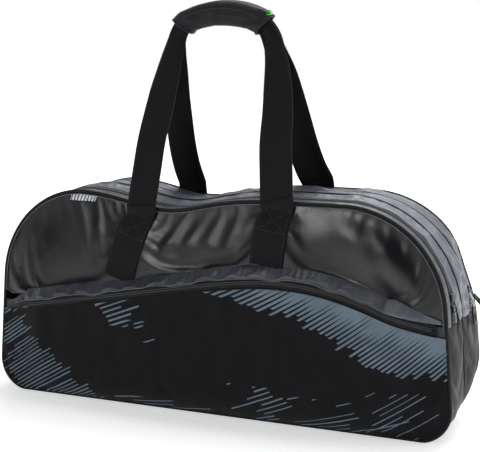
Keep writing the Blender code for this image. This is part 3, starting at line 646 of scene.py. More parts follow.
def printed_material():
    """Matt black cloth printed with brushed slate strokes."""
    g = Graph("printed_cloth", (0.0056, 0.0057, 0.0068), 0.78, specular=0.14, sheen=0.02)
    ink = g.math("MAXIMUM", comb_ink(g), left_ink(g))
    for group in LOOSE_STROKES:
        ink = g.math("MAXIMUM", ink, free_ink(g, *group))
    worn = g.ramp(g.noise(900.0, 2.0, stretch=(0.35, 1.0)), 0.25, 0.45, 0.70, 1.0)
    ink = g.math("MULTIPLY", ink, worn)
    slate = g.mix(g.ramp(g.noise(25.0, 2.0), 0.3, 0.7), (0.112, 0.155, 0.196), (0.150, 0.200, 0.245))
    black = mottled(g, 35.0, 0.85, 1.2)
    g.color(g.mix(ink, black, slate))
    g.bump(g.noise(16.0, 3.0), 0.0022, 0.35)
    g.bump(g.weave(0.0010, 0.0010), 0.00010, 0.6)
    return g.material


MAT = build_materials()


# ------------------------------------------------------------------ riding and standing in
MOUTH_EASE = (0.335, 0.200)   # the pocket's mouth loosens from its ends at the piping to its middle


def keep_between(obj, low, high):
    """Keep the faces whose centres lie between two x values, with the shading of the whole."""
    normals = [tuple(v.normal) for v in obj.data.vertices]
    bm = bmesh.new()
    bm.from_mesh(obj.data)
    layer = bm.verts.layers.int.new("origin")
    for v in bm.verts:
        v[layer] = v.index
    outside = [f for f in bm.faces if not low <= f.calc_center_median().x < high]
    bmesh.ops.delete(bm, geom=outside, context="FACES")
    origin = [v[layer] for v in bm.verts]
    bm.verts.layers.int.remove(layer)
    bm.to_mesh(obj.data)
    bm.free()
    if origin:
        obj.data.normals_split_custom_set_from_vertices([normals[i] for i in origin])
    return len(origin)


def mouth_ends(obj, slot):
    """Split a long piece of the pocket's mouth: its two ends become pieces of their own, fixed where they
    are, and the middle stays.
    """
    left, right = MID_X - MOUTH_EASE[1], MID_X + MOUTH_EASE[1]
    for side, low, high, start, end in (("left", -1.0, left, MID_X - MOUTH_EASE[0], left),
                                        ("right", right, 1.0, MID_X + MOUTH_EASE[0], right)):
        piece = obj.copy()
        piece.data = obj.data.copy()
        piece.name = obj.name + "_" + side + "_end"
        bpy.context.scene.collection.objects.link(piece)
        if not keep_between(piece, low, high):
            bpy.data.objects.remove(piece)
            continue
        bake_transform(piece)
    keep_between(obj, left, right)


def place(obj, body, node=None, slot=None):
    """Ride the body, or stay fixed where it is for a cloth that crosses a joint, and stand in for the CAD
    node.
    """
    if body == "pocket_mouth":
        mouth_ends(obj, slot)
    if body in CLOTH_BENDS:
        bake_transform(obj)
    else:
        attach(obj, body)
    if node:
        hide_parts(*([node] if isinstance(node, str) else node))
    return obj


# ------------------------------------------------------------------ strips between the seams
def strip_sheet(name, path, y0, y1, cols, rows, crown=0.0, inset=0.0):
    """A sheet between two depths that follows the outline, crowned across its width."""
    def row_of(_, t):
        y = lerp(y0, y1, t)
        run, along = path(y, inset - crown * math.sin(math.pi * t), cols)
        return run[:, 0] + MID_X, y, run[:, 1], along, y

    return face_outwards(row_grid(name, rows, cols, row_of), y0, y1)


def face_outwards(made, y0, y1):
    """Turn a sheet that follows the outline so that it faces away from the bag's middle."""
    middle = Vector((MID_X, (y0 + y1) / 2, 0.165))
    face_towards(made, lambda p: p - middle)
    return made


def edge_pins(rows, cols):
    """1 on the four edges of a grid, 0 inside."""
    pins = np.zeros((rows, cols))
    pins[[0, -1]] = 1
    pins[:, [0, -1]] = 1
    return pins.reshape(-1)


strips = []
HALF_SEAM = 0.0018            # a strip starts this far from the middle of its piping
HALF_COIL = 0.0022            # and this far from the middle of the rear zipper
# name, path, from y, to y, columns, rows, crown, growth, pressure, cap, look, body, node, slot
STRIPS = (
    ("front_top_strip_cloth", upper_path, FRONT_Y + 0.0020, TAPE1_FRONT, 190, 6, 0.0012, 0.020, 1.0, 0.004,
     "slate", "front_lid_cloth", "front_top_strip", "slate"),
    ("between_zips_front_cloth", upper_path, TAPE1_REAR, MID_Y - HALF_SEAM, 190, 9, 0.0020, 0.045, 1.0, 0.006,
     "silver", "shell", "top_strip_between_zips_front", "silver_grey"),
    ("between_zips_rear_cloth", upper_path, MID_Y + HALF_SEAM, ZIP2_Y - HALF_COIL, 190, 10, 0.0030, 0.045,
     1.0, 0.006, "silver", "shell", "top_strip_between_zips_rear", "silver_grey"),
    ("rear_top_strip_cloth", upper_path, ZIP2_Y + HALF_COIL, REAR_Y - HALF_SEAM, 190, 9, 0.0030, 0.045, 1.0,
     0.006, "silver", "rear_lid_cloth", "rear_top_strip", "silver_grey"),
    ("front_lower_gusset_cloth", lower_path, FRONT_Y + HALF_SEAM, MID_Y - HALF_SEAM, 170, 14, 0.0, 0.035, 5.0,
     0.010, "gusset", "shell", "front_lower_gusset", "gusset_black"),
    ("rear_lower_gusset_cloth", lower_path, MID_Y + HALF_SEAM, REAR_Y - HALF_SEAM, 170, 15, 0.0, 0.035, 5.0,
     0.012, "gusset", "shell", "rear_lower_gusset", "gusset_black"),
)
for name, path, y0, y1, cols, rows, crown, grow, pressure, cap, look, body, node, slot in STRIPS:
    made = strip_sheet(name, path, y0, y1, cols, rows, crown)
    add_cloth(made, edge_pins(rows, cols), grow=grow, pressure=pressure, weight=0.3, cap=cap)
    strips.append((made, MAT[look], body, node, slot))


# ------------------------------------------------------------------ front and rear walls
def ruled_sheet(name, low, high, rows, depth_of):
    """A sheet ruled between two runs of (x, z); depth_of(x, z, t, ends) gives y."""
    ends = np.sin(np.linspace(0, math.pi, len(low)))

    def row_of(_, t):
        x = lerp(low[:, 0], high[:, 0], t)
        z = lerp(low[:, 1], high[:, 1], t)
        return x + MID_X, depth_of(x, z, t, ends), z, x, z

    return row_grid(name, rows, len(low), row_of)


def front_depth(x, z, t, ends):
    """The upper wall stands out at the pocket and runs back to the seam at the top."""
    ends = np.minimum(1.0, ends * 1.5)
    low = np.minimum(1.0, bulge_share(x) * 1.2)
    return FRONT_Y - 0.0012 - low * 0.0150 * np.cos(t * math.pi / 2) - ends * 0.0045 * np.sin(t * math.pi)


WALL_ROWS, WALL_COLS = 26, 180
WALL_START = 0.1600           # the upper walls end at this height beside the piping
WALL_INSET = 0.0026
rim, _ = upper_path(FRONT_Y, WALL_INSET, WALL_COLS, start=WALL_START)
edge_x = np.linspace(rim[0, 0] - 0.006, rim[-1, 0] + 0.006, WALL_COLS + 1)
# away from its ends the lower edge hides behind the placket
dip = 0.022 * np.clip((np.max(edge_x) - np.abs(edge_x)) / 0.012, 0.0, 1.0)
edge_line = np.stack([edge_x, np.maximum(WALL_START - dip, arch_z(edge_x, PLACKET - 0.0070))], axis=1)
edge_run, _ = resample(edge_line, WALL_COLS)
front_wall = ruled_sheet("front_upper_cloth", edge_run, rim, WALL_ROWS, front_depth)
face_towards(front_wall, lambda p: Vector((0, -1, 0)))
pins = edge_pins(WALL_ROWS, WALL_COLS)
wall_co = coords(front_wall)
CREASE_DEPTH = 0.8
# folds pressed into the coated cloth: start and end (x, z), how far out, how wide
CREASES = (
    ((-0.060, 0.300), (-0.098, 0.258), 0.0034, 0.0085), ((-0.036, 0.300), (-0.072, 0.245), 0.0042, 0.0095),
    ((-0.006, 0.300), (-0.030, 0.262), 0.0022, 0.0080), ((0.022, 0.306), (0.004, 0.268), 0.0026, 0.0090),
    ((0.052, 0.312), (0.036, 0.262), 0.0034, 0.0110), ((0.082, 0.318), (0.060, 0.284), 0.0024, 0.0085),
    ((0.128, 0.300), (0.150, 0.262), 0.0030, 0.0065), ((0.205, 0.314), (0.252, 0.262), 0.0050, 0.0240),
    ((0.262, 0.292), (0.312, 0.222), 0.0046, 0.0130), ((0.300, 0.262), (0.332, 0.196), 0.0030, 0.0090),
    ((0.185, 0.262), (0.235, 0.222), -0.0046, 0.0260), ((0.268, 0.238), (0.322, 0.196), -0.0030, 0.0100),
    ((-0.186, 0.306), (-0.176, 0.226), 0.0034, 0.0070), ((-0.214, 0.300), (-0.196, 0.216), 0.0018, 0.0060),
    ((-0.342, 0.180), (-0.334, 0.248), 0.0034, 0.0055), ((-0.322, 0.270), (-0.338, 0.214), 0.0026, 0.0060),
    ((-0.286, 0.298), (-0.302, 0.250), 0.0016, 0.0080), ((0.030, 0.236), (0.076, 0.250), 0.0028, 0.0085),
    ((-0.092, 0.226), (-0.020, 0.240), 0.0030, 0.0100), ((-0.060, 0.258), (0.040, 0.256), 0.0026, 0.0140),
)
flat = wall_co[:, (0, 2)] - (MID_X, 0.0)
for start, end, out, width in CREASES:
    start, end = np.array(start), np.array(end)
    way = end - start
    share = np.clip(((flat - start) @ way) / (way @ way), 0.0, 1.0)
    away = np.linalg.norm(flat - start - share[:, None] * way, axis=1)
    fade_out = 0.35 + 0.65 * np.sin(math.pi * (0.15 + 0.70 * share))
    wall_co[:, 1] -= CREASE_DEPTH * out * np.exp(-(away / width) ** 2) * fade_out
row = np.arange(WALL_ROWS)
rim_gap = np.minimum(1.0, np.minimum(row, WALL_ROWS - 1 - row) / 2.0)
wall_co[:, 1] = lerp(coords(front_wall)[:, 1], wall_co[:, 1], np.repeat(rim_gap, WALL_COLS))
set_coords(front_wall, wall_co)
# the sewn straps hold the cloth where they lie
for low, high, half in (((-0.143, 0.205), (-0.108, 0.312), 0.020), ((0.100, 0.245), (0.111, 0.330), 0.022)):
    line_x = np.interp(wall_co[:, 2], (low[1], high[1]), (low[0], high[0])) + MID_X
    held = (np.abs(wall_co[:, 0] - line_x) < half) & (wall_co[:, 2] > low[1])
    pins[held] = np.maximum(pins[held], 0.6)
add_cloth(front_wall, pins, grow=0.003, pressure=0.5, weight=1.0, cap=0.006, bending=2.5)

REAR_ROWS, REAR_COLS = 40, 150
low_run, _ = lower_path(REAR_Y, WALL_INSET, REAR_COLS, start=WALL_START)
up_run, _ = upper_path(REAR_Y, WALL_INSET, REAR_COLS, start=WALL_START)
up_run = up_run[::-1]


def rear_depth(x, z, t, ends):
    ends = np.minimum(1.0, ends * 1.4)
    return REAR_Y + 0.0012 + ends * 0.0095 * np.sin(math.pi * np.clip(t, 0.0, 1.0)) ** 0.7


rear_wall = ruled_sheet("rear_wall_cloth", low_run, up_run, REAR_ROWS, rear_depth)
face_towards(rear_wall, lambda p: Vector((0, 1, 0)))
add_cloth(rear_wall, edge_pins(REAR_ROWS, REAR_COLS), grow=0.012, pressure=0.8, weight=1.0, cap=0.010,
          bending=0.2)

# pocket front
POCKET_ROWS, POCKET_COLS = 34, 170
POCKET_START = 0.1340         # the pocket's side seams end at this height
pocket_low, _ = lower_path(FRONT_Y, 0.0030, POCKET_COLS, start=POCKET_START)
pocket_x = np.linspace(pocket_low[0, 0] + 0.0005, pocket_low[-1, 0] - 0.0005, POCKET_COLS)
pocket_high = np.stack([pocket_x, arch_z(pocket_x, -0.0090)], axis=1)
pocket_wall = ruled_sheet("pocket_front_cloth", pocket_low, pocket_high, POCKET_ROWS,
                          lambda x, z, t, ends: pocket_y(x, z) - 0.0012)
face_towards(pocket_wall, lambda p: Vector((0, -1, 0)))
add_cloth(pocket_wall, edge_pins(POCKET_ROWS, POCKET_COLS), grow=0.005, pressure=0.8, weight=0.6, cap=0.006,
          bending=4.0)

# grey placket over the pocket's zipper
PLACKET_ROWS, PLACKET_COLS = 9, 220


def placket_sheet(name, rows, cols, x0, x1, low, high, out, wave):
    """A soft band over the pocket's zipper; low and high are heights from the arched line."""
    x = np.linspace(x0, x1, cols)
    share = bulge_share(x)
    mouth = pocket_y(x, arch_z(x)) - out * share
    wall_edge = FRONT_Y - 0.0014 - 0.0150 * np.minimum(1.0, share * 1.2)

    def row_of(_, t):
        z = arch_z(x, lerp(low(x) + wave(x) * (1 - t), high(x), t))
        y = lerp(mouth, wall_edge, smooth(t) ** 1.2) - 0.0035 * math.sin(math.pi * t) * share
        return x + MID_X, y, z, x, z

    made = row_grid(name, rows, cols, row_of)
    face_towards(made, lambda p: Vector((0, -1, 0)))
    return made


def fold_wave(x):
    return 0.0013 * np.sin(x * 47.0) + 0.0010 * np.sin(x * 83.0 + 1.0) + 0.0006 * np.sin(x * 150.0)


def left_taper(x):
    return smooth((x + 0.357) / 0.050)


placket = placket_sheet("pocket_placket_cloth", PLACKET_ROWS, PLACKET_COLS, -0.356, 0.300,
                        lambda x: lerp(0.0000, 0.0060, left_taper(x)),
                        lambda x: lerp(0.0040, PLACKET + 0.0008, left_taper(x)), 0.0042, fold_wave)
add_cloth(placket, edge_pins(PLACKET_ROWS, PLACKET_COLS), grow=0.055, pressure=0.5, weight=0.6, cap=0.0050,
          bending=0.05)

# slate end tab over the right end of the zipper
TAB_ROWS, TAB_COLS = 12, 30
tab = placket_sheet("pocket_end_tab_cloth", TAB_ROWS, TAB_COLS, 0.2815, 0.3545,
                    lambda x: np.interp(x, (0.2815, 0.300, 0.3545), (0.0055, 0.0060, 0.0098)),
                    lambda x: np.interp(x, (0.2815, 0.2930, 0.3545), (0.0215, 0.0262, 0.0150)), 0.0078,
                    lambda x: 0.0 * x)
tab_co = coords(tab)
for start, slope, height, width in ((0.297, 0.55, 0.0016, 0.0022), (0.313, 0.45, 0.0013, 0.0020),
                                    (0.329, 0.35, 0.0009, 0.0022)):
    crease = start + slope * (tab_co[:, 2] - 0.190)
    tab_co[:, 1] += height * np.exp(-((tab_co[:, 0] - MID_X - crease) / width) ** 2)
tab_co[:, 1] -= 0.0022
set_coords(tab, tab_co)
add_cloth(tab, edge_pins(TAB_ROWS, TAB_COLS), grow=0.020, pressure=1.0, weight=0.4, cap=0.0020, bending=0.4)

# ------------------------------------------------------------------ padded hand wrap
RUN = (
    (-0.108, 0.3140, 0.048), (-0.111, 0.360, 0.048), (-0.111, 0.410, 0.047), (-0.107, 0.460, 0.046),
    (-0.101, 0.505, 0.040), (-0.096, 0.538, 0.034), (-0.089, 0.565, 0.028), (-0.074, 0.585, 0.026),
    (-0.046, 0.595, 0.026), (-0.012, 0.599, 0.026), (0.019, 0.5955, 0.026), (0.044, 0.5865, 0.026),
    (0.062, 0.568, 0.028), (0.072, 0.540, 0.034), (0.081, 0.505, 0.042), (0.088, 0.460, 0.048),
    (0.094, 0.410, 0.051), (0.103, 0.365, 0.052), (0.111, 0.3330, 0.052),
)
FRONT_FOLD = PIVOTS["front_handle_fold"]
REAR_FOLD = PIVOTS["rear_handle_fold"]
HANDLE_GAP = 0.0022
HANDLE_MID_Y = (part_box("front_handle_webbing")[1].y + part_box("rear_handle_webbing")[0].y) / 2


def spline(points, count):
    """Catmull-Rom through the points, then equal steps."""
    p = np.asarray(points, float)
    p = np.vstack([2 * p[0] - p[1], p, 2 * p[-1] - p[-2]])
    out = []
    for i in range(1, len(p) - 2):
        for k in range(12):
            t = k / 12
            out.append(0.5 * (2 * p[i] + (p[i + 1] - p[i - 1]) * t
                              + (2 * p[i - 1] - 5 * p[i] + 4 * p[i + 1] - p[i + 2]) * t * t
                              + (3 * p[i] - p[i - 1] - 3 * p[i + 1] + p[i + 2]) * t ** 3))
    out.append(p[-2])
    return resample(np.array(out), count)


def wrap_path(count):
    mids = [(-0.0820, 0.5760)] + [(x, z) for x, z, _ in RUN[7:12]] + [(0.0545, 0.5785)]
    run, along = spline(mids, count)
    tangent = np.gradient(run, axis=0)
    tangent /= np.linalg.norm(tangent, axis=1)[:, None]
    normal = np.stack([-tangent[:, 1], tangent[:, 0]], axis=1)
    return run, along, normal


def wrap_sheet(name, section, cols):
    """A sheet round the handles: section is (depth, rise) points from one long edge to the other."""
    run, along, normal = wrap_path(cols)
    steps = [0.0] + [math.dist(a, b) for a, b in zip(section[:-1], section[1:])]
    lengths = np.cumsum(steps)

    def row_of(r, _):
        depth, rise = section[r]
        return (run[:, 0] + normal[:, 0] * rise + MID_X, HANDLE_MID_Y + depth,
                run[:, 1] + normal[:, 1] * rise, along, lengths[r])

    return row_grid(name, len(section), cols, row_of)


WRAP_COLS, FLAP_ROWS, FLAP_COLS = 56, 10, 50
wrap_section = [(0.0105, 0.0172)]
for i in range(23):
    angle = lerp(math.radians(84), math.radians(276), i / 22)
    wrap_section.append((0.0115 * math.cos(angle) - 0.0005, 0.0186 * math.sin(angle)))
wrap_section.append((0.0105, -0.0166))
wrap = wrap_sheet("grip_wrap_cloth", wrap_section, WRAP_COLS)
face_towards(wrap, lambda p: Vector((0, -1, 0)) if p.y < HANDLE_MID_Y else Vector((0, 0, 1)))
add_cloth(wrap, edge_pins(len(wrap_section), WRAP_COLS), grow=0.035, pressure=2.0, weight=0.2, cap=0.0030,
          bending=0.3)
flap_section = []
for i in range(FLAP_ROWS):
    share = i / (FLAP_ROWS - 1)
    flap_section.append((0.0118 + 0.0012 * math.sin(math.pi * share), lerp(0.0176, -0.0172, share)))
flap = wrap_sheet("grip_flap_cloth", flap_section, FLAP_COLS)
face_towards(flap, lambda p: Vector((0, 1, 0)))
add_cloth(flap, edge_pins(FLAP_ROWS, FLAP_COLS), grow=0.020, pressure=1.0, weight=0.2, cap=0.0015,
          bending=0.3)

run_cloth()

for made, material, body, node, slot in strips:
    finish_sheet(made, material, 0.0012, 1, MAT["lining"])
    place(made, body, node, slot)
edge_rows = coords(placket).reshape(PLACKET_ROWS, PLACKET_COLS, 3)[0].copy()
tab_rows = coords(tab).reshape(TAB_ROWS, TAB_COLS, 3).copy()
trees = {}                    # the walls' finished shapes, to lay the straps on
for made, look, thick, body, nodes, slot in (
        (front_wall, "coated", 0.0014, "front_lid_cloth", "front_upper_panel", "coated_black"),
        (rear_wall, "coated", 0.0014, "rear_lid_cloth", ["rear_upper_panel", "rear_lower_wall"],
         "coated_black"),
        (pocket_wall, "print", 0.0012, "pocket_mouth", "pocket_front_panel", "printed_black"),
        (placket, "slate", 0.0010, "shell", "pocket_placket", "slate"),
        (tab, "tab", 0.0012, "shell", "pocket_zip_end_tab", "slate"),
        (wrap, "wrap", 0.0026, "front_handle", "grip_wrap_front", "wrap"),
        (flap, "wrap", 0.0022, "flap_cloth", "grip_wrap_flap", "wrap")):
    finish_sheet(made, MAT[look], thick, 1, MAT["lining"])
    if made in (front_wall, rear_wall):
        trees[made.name] = BVHTree.FromObject(made, bpy.context.evaluated_depsgraph_get())
    place(made, body, nodes, slot)
front_tree, rear_tree = trees[front_wall.name], trees[rear_wall.name]


# ------------------------------------------------------------------ bars, cords and edges
def tube(name, points, radius, material, sides=10, closed=False, up=(0, 1, 0)):
    """A round bar along a run of points, with u along it and v round it."""
    points = np.asarray(points, float)
    count = len(points)
    if closed:
        tangent = np.roll(points, -1, axis=0) - np.roll(points, 1, axis=0)
    else:
        tangent = np.gradient(points, axis=0)
    tangent /= np.linalg.norm(tangent, axis=1)[:, None]
    side = np.tile(np.asarray(up, float), (count, 1))
    side -= tangent * np.sum(side * tangent, axis=1)[:, None]
    side /= np.linalg.norm(side, axis=1)[:, None]
    other = np.cross(tangent, side)
    radii = np.broadcast_to(np.asarray(radius, float), (count,))
    grid = np.zeros((sides + 1, count, 3))
    uvs = np.zeros((sides + 1, count, 2))
    steps = np.linalg.norm(np.diff(points, axis=0), axis=1)
    along = np.concatenate(([0.0], np.cumsum(steps)))
    for k in range(sides + 1):
        angle = 2 * math.pi * k / sides
        grid[k] = points + radii[:, None] * (side * math.cos(angle) + other * math.sin(angle))
        uvs[k, :, 0] = along
        uvs[k, :, 1] = angle * radii
    made = mesh_from_grid(name, grid, uvs, closed=closed)
    bm = bmesh.new()
    bm.from_mesh(made.data)
    bmesh.ops.remove_doubles(bm, verts=bm.verts, dist=0.0000005)
    if not closed:
        bmesh.ops.holes_fill(bm, edges=[e for e in bm.edges if e.is_boundary], sides=0)
    bmesh.ops.recalc_face_normals(bm, faces=bm.faces)
    bm.to_mesh(made.data)
    bm.free()
    shade_smooth(made.data)
    made.data.materials.append(material)
    return made


def ring_tube(name, y, radius, material, inset):
    run, _ = ring_path(y, inset)
    points = [(x + MID_X, y, z) for x, z in run]
    return tube(name, points, radius, material, sides=10, closed=True)


PIPING_PROUD = 0.0016         # how far the cord's middle stands out from its seam's inset
for name, y, nodes, body in (
        ("front_piping_cord", FRONT_Y, ["front_upper_piping", "front_lower_piping"], "front_lid_cloth"),
        ("divider_piping_cord", MID_Y, ["divider_piping"], "shell"),
        ("rear_piping_cord", REAR_Y, ["rear_upper_piping", "rear_lower_piping"], "rear_lid_cloth")):
    made = ring_tube(name, y, PIPING_R, MAT["piping"], PIPING_R - PIPING_PROUD)
    shift = coords(made)
    shift[:, 2] = np.maximum(shift[:, 2], 0.0)
    set_coords(made, shift)
    place(made, body, nodes, "piping")

# the turned edge of the front wall beside its piping, coloured a lighter grey than the wall: a painted
# highlight along it
run, _ = upper_path(FRONT_Y - 0.0010, 0.0048, 260, start=0.1620)
turned = [(x + MID_X, FRONT_Y - 0.0024, z) for x, z in run]
bind = tube("front_wall_turned_edge", turned, 0.0009, MAT["edge_highlight_grey"], sides=8)
place(bind, "front_lid_cloth", None, "slate")
# the placket's folded lower edge, in the same lighter grey: a painted highlight
bind = tube("placket_turned_edge", edge_rows + np.array([0.0, -0.0008, 0.0]), 0.0008, MAT["edge_highlight_grey"], sides=8)
place(bind, "shell", None, "slate")
tab_edge = tab_rows[:, 0] + np.array([-0.0004, -0.0010, 0.0])
bind = tube("end_tab_turned_edge", tab_edge, 0.0009, MAT["slate"], sides=8, up=(1, 0, 0))
place(bind, "shell", None, "slate")
hem_x = np.linspace(-0.335, 0.348, 220)
hem = np.stack([hem_x + MID_X, pocket_y(hem_x, arch_z(hem_x)) - 0.0020, arch_z(hem_x, -0.0090)], axis=1)
bind = tube("pocket_turned_edge", hem, 0.0008, MAT["piping"], sides=8)
place(bind, "pocket_mouth", None, "printed_black")


# ------------------------------------------------------------------ zippers
COIL_PITCH = 0.0020
COIL_ROWS = 5
COIL_PROFILE = (0.00, 0.62, 1.0, 0.62)   # height of the coil over one turn


def zip_teeth(name, path, y0, y1, inset, height, phase):
    """Coil of a zipper: a row of rounded ribs, each standing on the tape."""
    _, along = path((y0 + y1) / 2, inset, 50)
    cols = int(along[-1] / COIL_PITCH) * 4 + 1
    lift = np.array([COIL_PROFILE[(c + phase) % 4] for c in range(cols)])

    def row_of(_, t):
        y = lerp(y0, y1, t)
        crown = math.sin(math.pi * (0.12 + 0.76 * t))
        low, along = path(y, inset, cols)
        high, _ = path(y, inset - height, cols)
        share = (0.25 + 0.75 * lift) * crown
        return (lerp(low[:, 0], high[:, 0], share) + MID_X, y,
                lerp(low[:, 1], high[:, 1], share), along, y)

    made = face_outwards(row_grid(name, COIL_ROWS, cols, row_of), y0, y1)
    return finish_sheet(made, MAT["teeth"], 0.0008, 0)


TOOTH = 0.0028                # half the width of the two big zippers' coils
THIN_TOOTH = 0.0021
SLIT = 0.0001
for name, y0, y1, body, node in (
        ("front_zip_tape_front", TAPE1_FRONT, ZIP1_Y - 0.0003, "front_lid_cloth", "front_zip_front_tape"),
        ("front_zip_tape_rear", ZIP1_Y + 0.0003, TAPE1_REAR, "shell", "front_zip_rear_tape")):
    made = strip_sheet(name, upper_path, y0, y1, 260, 4, inset=0.0004)
    place(finish_sheet(made, MAT["tape"], 0.0006, 0), body, node, "tape")
for name, y0, y1, inset, height, phase, body, node in (
        ("front_zip_coil_front", ZIP1_Y - TOOTH, ZIP1_Y - SLIT, 0.0003, 0.0014, 0, "front_lid_cloth",
         "front_zip_front_teeth"),
        ("front_zip_coil_rear", ZIP1_Y + SLIT, ZIP1_Y + TOOTH, 0.0003, 0.0014, 2, "shell",
         "front_zip_rear_teeth"),
        ("rear_zip_coil_front", ZIP2_Y - THIN_TOOTH, ZIP2_Y - SLIT, 0.0016, 0.0010, 0, "shell",
         "rear_zip_front_teeth"),
        ("rear_zip_coil_rear", ZIP2_Y + SLIT, ZIP2_Y + THIN_TOOTH, 0.0016, 0.0010, 2, "rear_lid_cloth",
         "rear_zip_rear_teeth")):
    place(zip_teeth(name, upper_path, y0, y1, inset, height, phase), body, node, "teeth")


def arch_band(name, low, high, out, x0, x1, cols, thick, material, ribbed=False, phase=0):
    """A ribbon along the pocket's mouth between two heights from the arched line."""
    x = np.linspace(x0, x1, cols)
    lift = np.array([COIL_PROFILE[(c + phase) % 4] if ribbed else 0.0 for c in range(cols)])
    front = pocket_y(x, arch_z(x)) - out

    def row_of(_, t):
        rise = lerp(low, high, t)
        crown = math.sin(math.pi * (0.12 + 0.76 * t)) if ribbed else 0.0
        y = front - 0.0013 * crown * (0.25 + 0.75 * lift)
        return x + MID_X, y, arch_z(x, rise), x, arch_z(x, rise) - arch_z(x)

    made = row_grid(name, COIL_ROWS, cols, row_of)
    face_towards(made, lambda p: Vector((0, -1, 0)))
    return finish_sheet(made, material, thick, 0)


COIL_COLS = int(0.66 / COIL_PITCH) * 4 + 1
for name, low, high, body, node in (
        ("pocket_zip_tape_lower", -0.0094, -0.0003, "pocket_mouth", "pocket_zip_lower_tape"),
        ("pocket_zip_tape_upper", 0.0003, 0.0080, "shell", "pocket_zip_upper_tape")):
    made = arch_band(name, low, high, 0.0010, -0.325, 0.348, 240, 0.0006, MAT["tape"])
    place(made, body, node, "tape")
for name, low, high, phase, body, node in (
        ("pocket_zip_coil_lower", -TOOTH, -SLIT, 0, "pocket_mouth", "pocket_zip_lower_teeth"),
        ("pocket_zip_coil_upper", SLIT, TOOTH, 2, "shell", "pocket_zip_upper_teeth")):
    made = arch_band(name, low, high, 0.0014, -0.318, 0.342, COIL_COLS, 0.0008, MAT["teeth"], True, phase)
    place(made, body, node, "teeth")

# ------------------------------------------------------------------ webbing of the handles
HALF_STRAP = 0.024            # half the strap's width, for the weave


def ribbon(name, centres, widths, across, outward, thick, material, curl=None, rows=9):
    """A woven strap: a sheet swept along its centre line, its edges curled by curl metres."""
    centres = np.asarray(centres, float)
    cols = len(centres)
    across = np.asarray(across, float)
    outward = np.asarray(outward, float)
    curl = np.zeros(cols) if curl is None else np.asarray(curl, float)
    steps = np.linalg.norm(np.diff(centres, axis=0), axis=1)
    along = np.concatenate(([0.0], np.cumsum(steps)))

    def row_of(_, t):
        s = t * 2 - 1
        spots = centres + across * (np.asarray(widths) * s / 2)[:, None]
        spots = spots - outward * (curl * s * s)[:, None]
        return *spots.T, along, s * HALF_STRAP

    made = row_grid(name, rows, cols, row_of)
    way = Vector(outward[cols // 2])
    face_towards(made, lambda p: way)
    return finish_sheet(made, material, thick, 0, offset=0.0)


def handle_run(fold, side, squeeze, base_left, base_right, count=150):
    """Centre line and width of one handle, its legs leaning in from the fold to the grip."""
    flat = [(x * squeeze, z, w) for x, z, w in RUN]
    flat[0] = (flat[0][0], base_left, flat[0][2])
    flat[-1] = (flat[-1][0], base_right, flat[-1][2])
    run, _ = spline(flat, count)
    x, z, width = run[:, 0], run[:, 1], run[:, 2]
    base = np.where(x < 0, base_left, base_right)
    t = np.clip((z - base) / (0.560 - base), 0.0, 1.0)
    share = 0.55 * np.sin(t * math.pi / 2) ** 0.9 + 0.45 * t
    y = lerp(fold.y, HANDLE_MID_Y + side * HANDLE_GAP, share)
    # the hanging webbing bows a little out of its plane
    y = y + side * 0.0020 * np.sin(t * math.pi) ** 2 + 0.0010 * np.sin(z * 61.0 + side) * np.sin(t * math.pi)
    centres = np.stack([x + MID_X, y, z], axis=1)
    tangent = np.gradient(centres, axis=0)
    tangent /= np.linalg.norm(tangent, axis=1)[:, None]
    across = np.cross(tangent, (0.0, 1.0, 0.0))
    across /= np.linalg.norm(across, axis=1)[:, None]
    outward = np.cross(across, tangent)
    outward *= np.sign(outward[:, 1:2] * side)
    pinch = smooth((0.048 - width) / 0.022) * 0.0052
    return centres, width, across, outward, pinch


FRONT_BASE = (0.3125, 0.3325)
REAR_BASE = (0.3290, 0.3410)
BASES = {}
for name, fold, side, squeeze, bases, body, node in (
        ("front_handle_strap", FRONT_FOLD, -1.0, 1.0, FRONT_BASE, "front_handle", "front_handle_webbing"),
        ("rear_handle_strap", REAR_FOLD, 1.0, 0.985, REAR_BASE, "rear_handle", "rear_handle_webbing")):
    centres, width, across, outward, pinch = handle_run(fold, side, squeeze, bases[0], bases[1])
    place(ribbon(name, centres, width, across, outward, 0.0021, MAT["webbing"], pinch), body, node, "webbing")
    BASES[body, "left"] = (centres[0], centres[1] - centres[0], across[0], width[0])
    BASES[body, "right"] = (centres[-1], centres[-2] - centres[-1], -across[-1], width[-1])


def surface_y(tree, x, z, sign):
    """Depth of the cloth at (x, z), seen from the front (sign -1) or the rear (sign 1)."""
    hit = tree.ray_cast(Vector((x, sign * 0.4, z)), Vector((0, -sign, 0)))
    return hit[0].y if hit[0] is not None else None


def anchor_path(tree, sign, low, base, count, lift):
    """Centres of a sewn strap that lies on the cloth and turns up into its handle."""
    end, way, _, _ = base
    way = way / np.linalg.norm(way)
    leave = np.array((lerp(low[0] + MID_X, end[0], 0.72), 0.0, lerp(low[1], end[2], 0.72)))
    start = np.array((low[0] + MID_X, 0.0, low[1]))
    flat = [lerp(start, leave, i / 20) for i in range(21)]
    for i in range(1, 21):
        t = i / 20
        corner = end - way * 0.016
        flat.append((1 - t) ** 2 * leave + 2 * t * (1 - t) * np.array((corner[0], 0.0, corner[2]))
                    + t * t * np.array((end[0], 0.0, end[2])))
    run, _ = resample(np.array(flat), count)
    last = end[1]
    for i in range(count):
        y = surface_y(tree, run[i, 0], min(run[i, 2], end[2] - 0.012), sign)
        last = y if y is not None else last
        share = float(smooth(np.array((run[i, 2] - (end[2] - 0.026)) / 0.026)))
        run[i, 1] = lerp(last + sign * lift, end[1], share)
    return run


def sewn_line(points, pitch=0.0042, length=0.0030):
    """Start and end of each stitch along a run of 3-D points."""
    whole = np.linalg.norm(np.diff(points, axis=0), axis=1).sum()
    run, _ = resample(points, max(2, int(whole / pitch) + 1))
    made = []
    for a, b in zip(run[:-1], run[1:]):
        way = (b - a) / max(1e-9, np.linalg.norm(b - a))
        made.append((a, a + way * length))
    return made


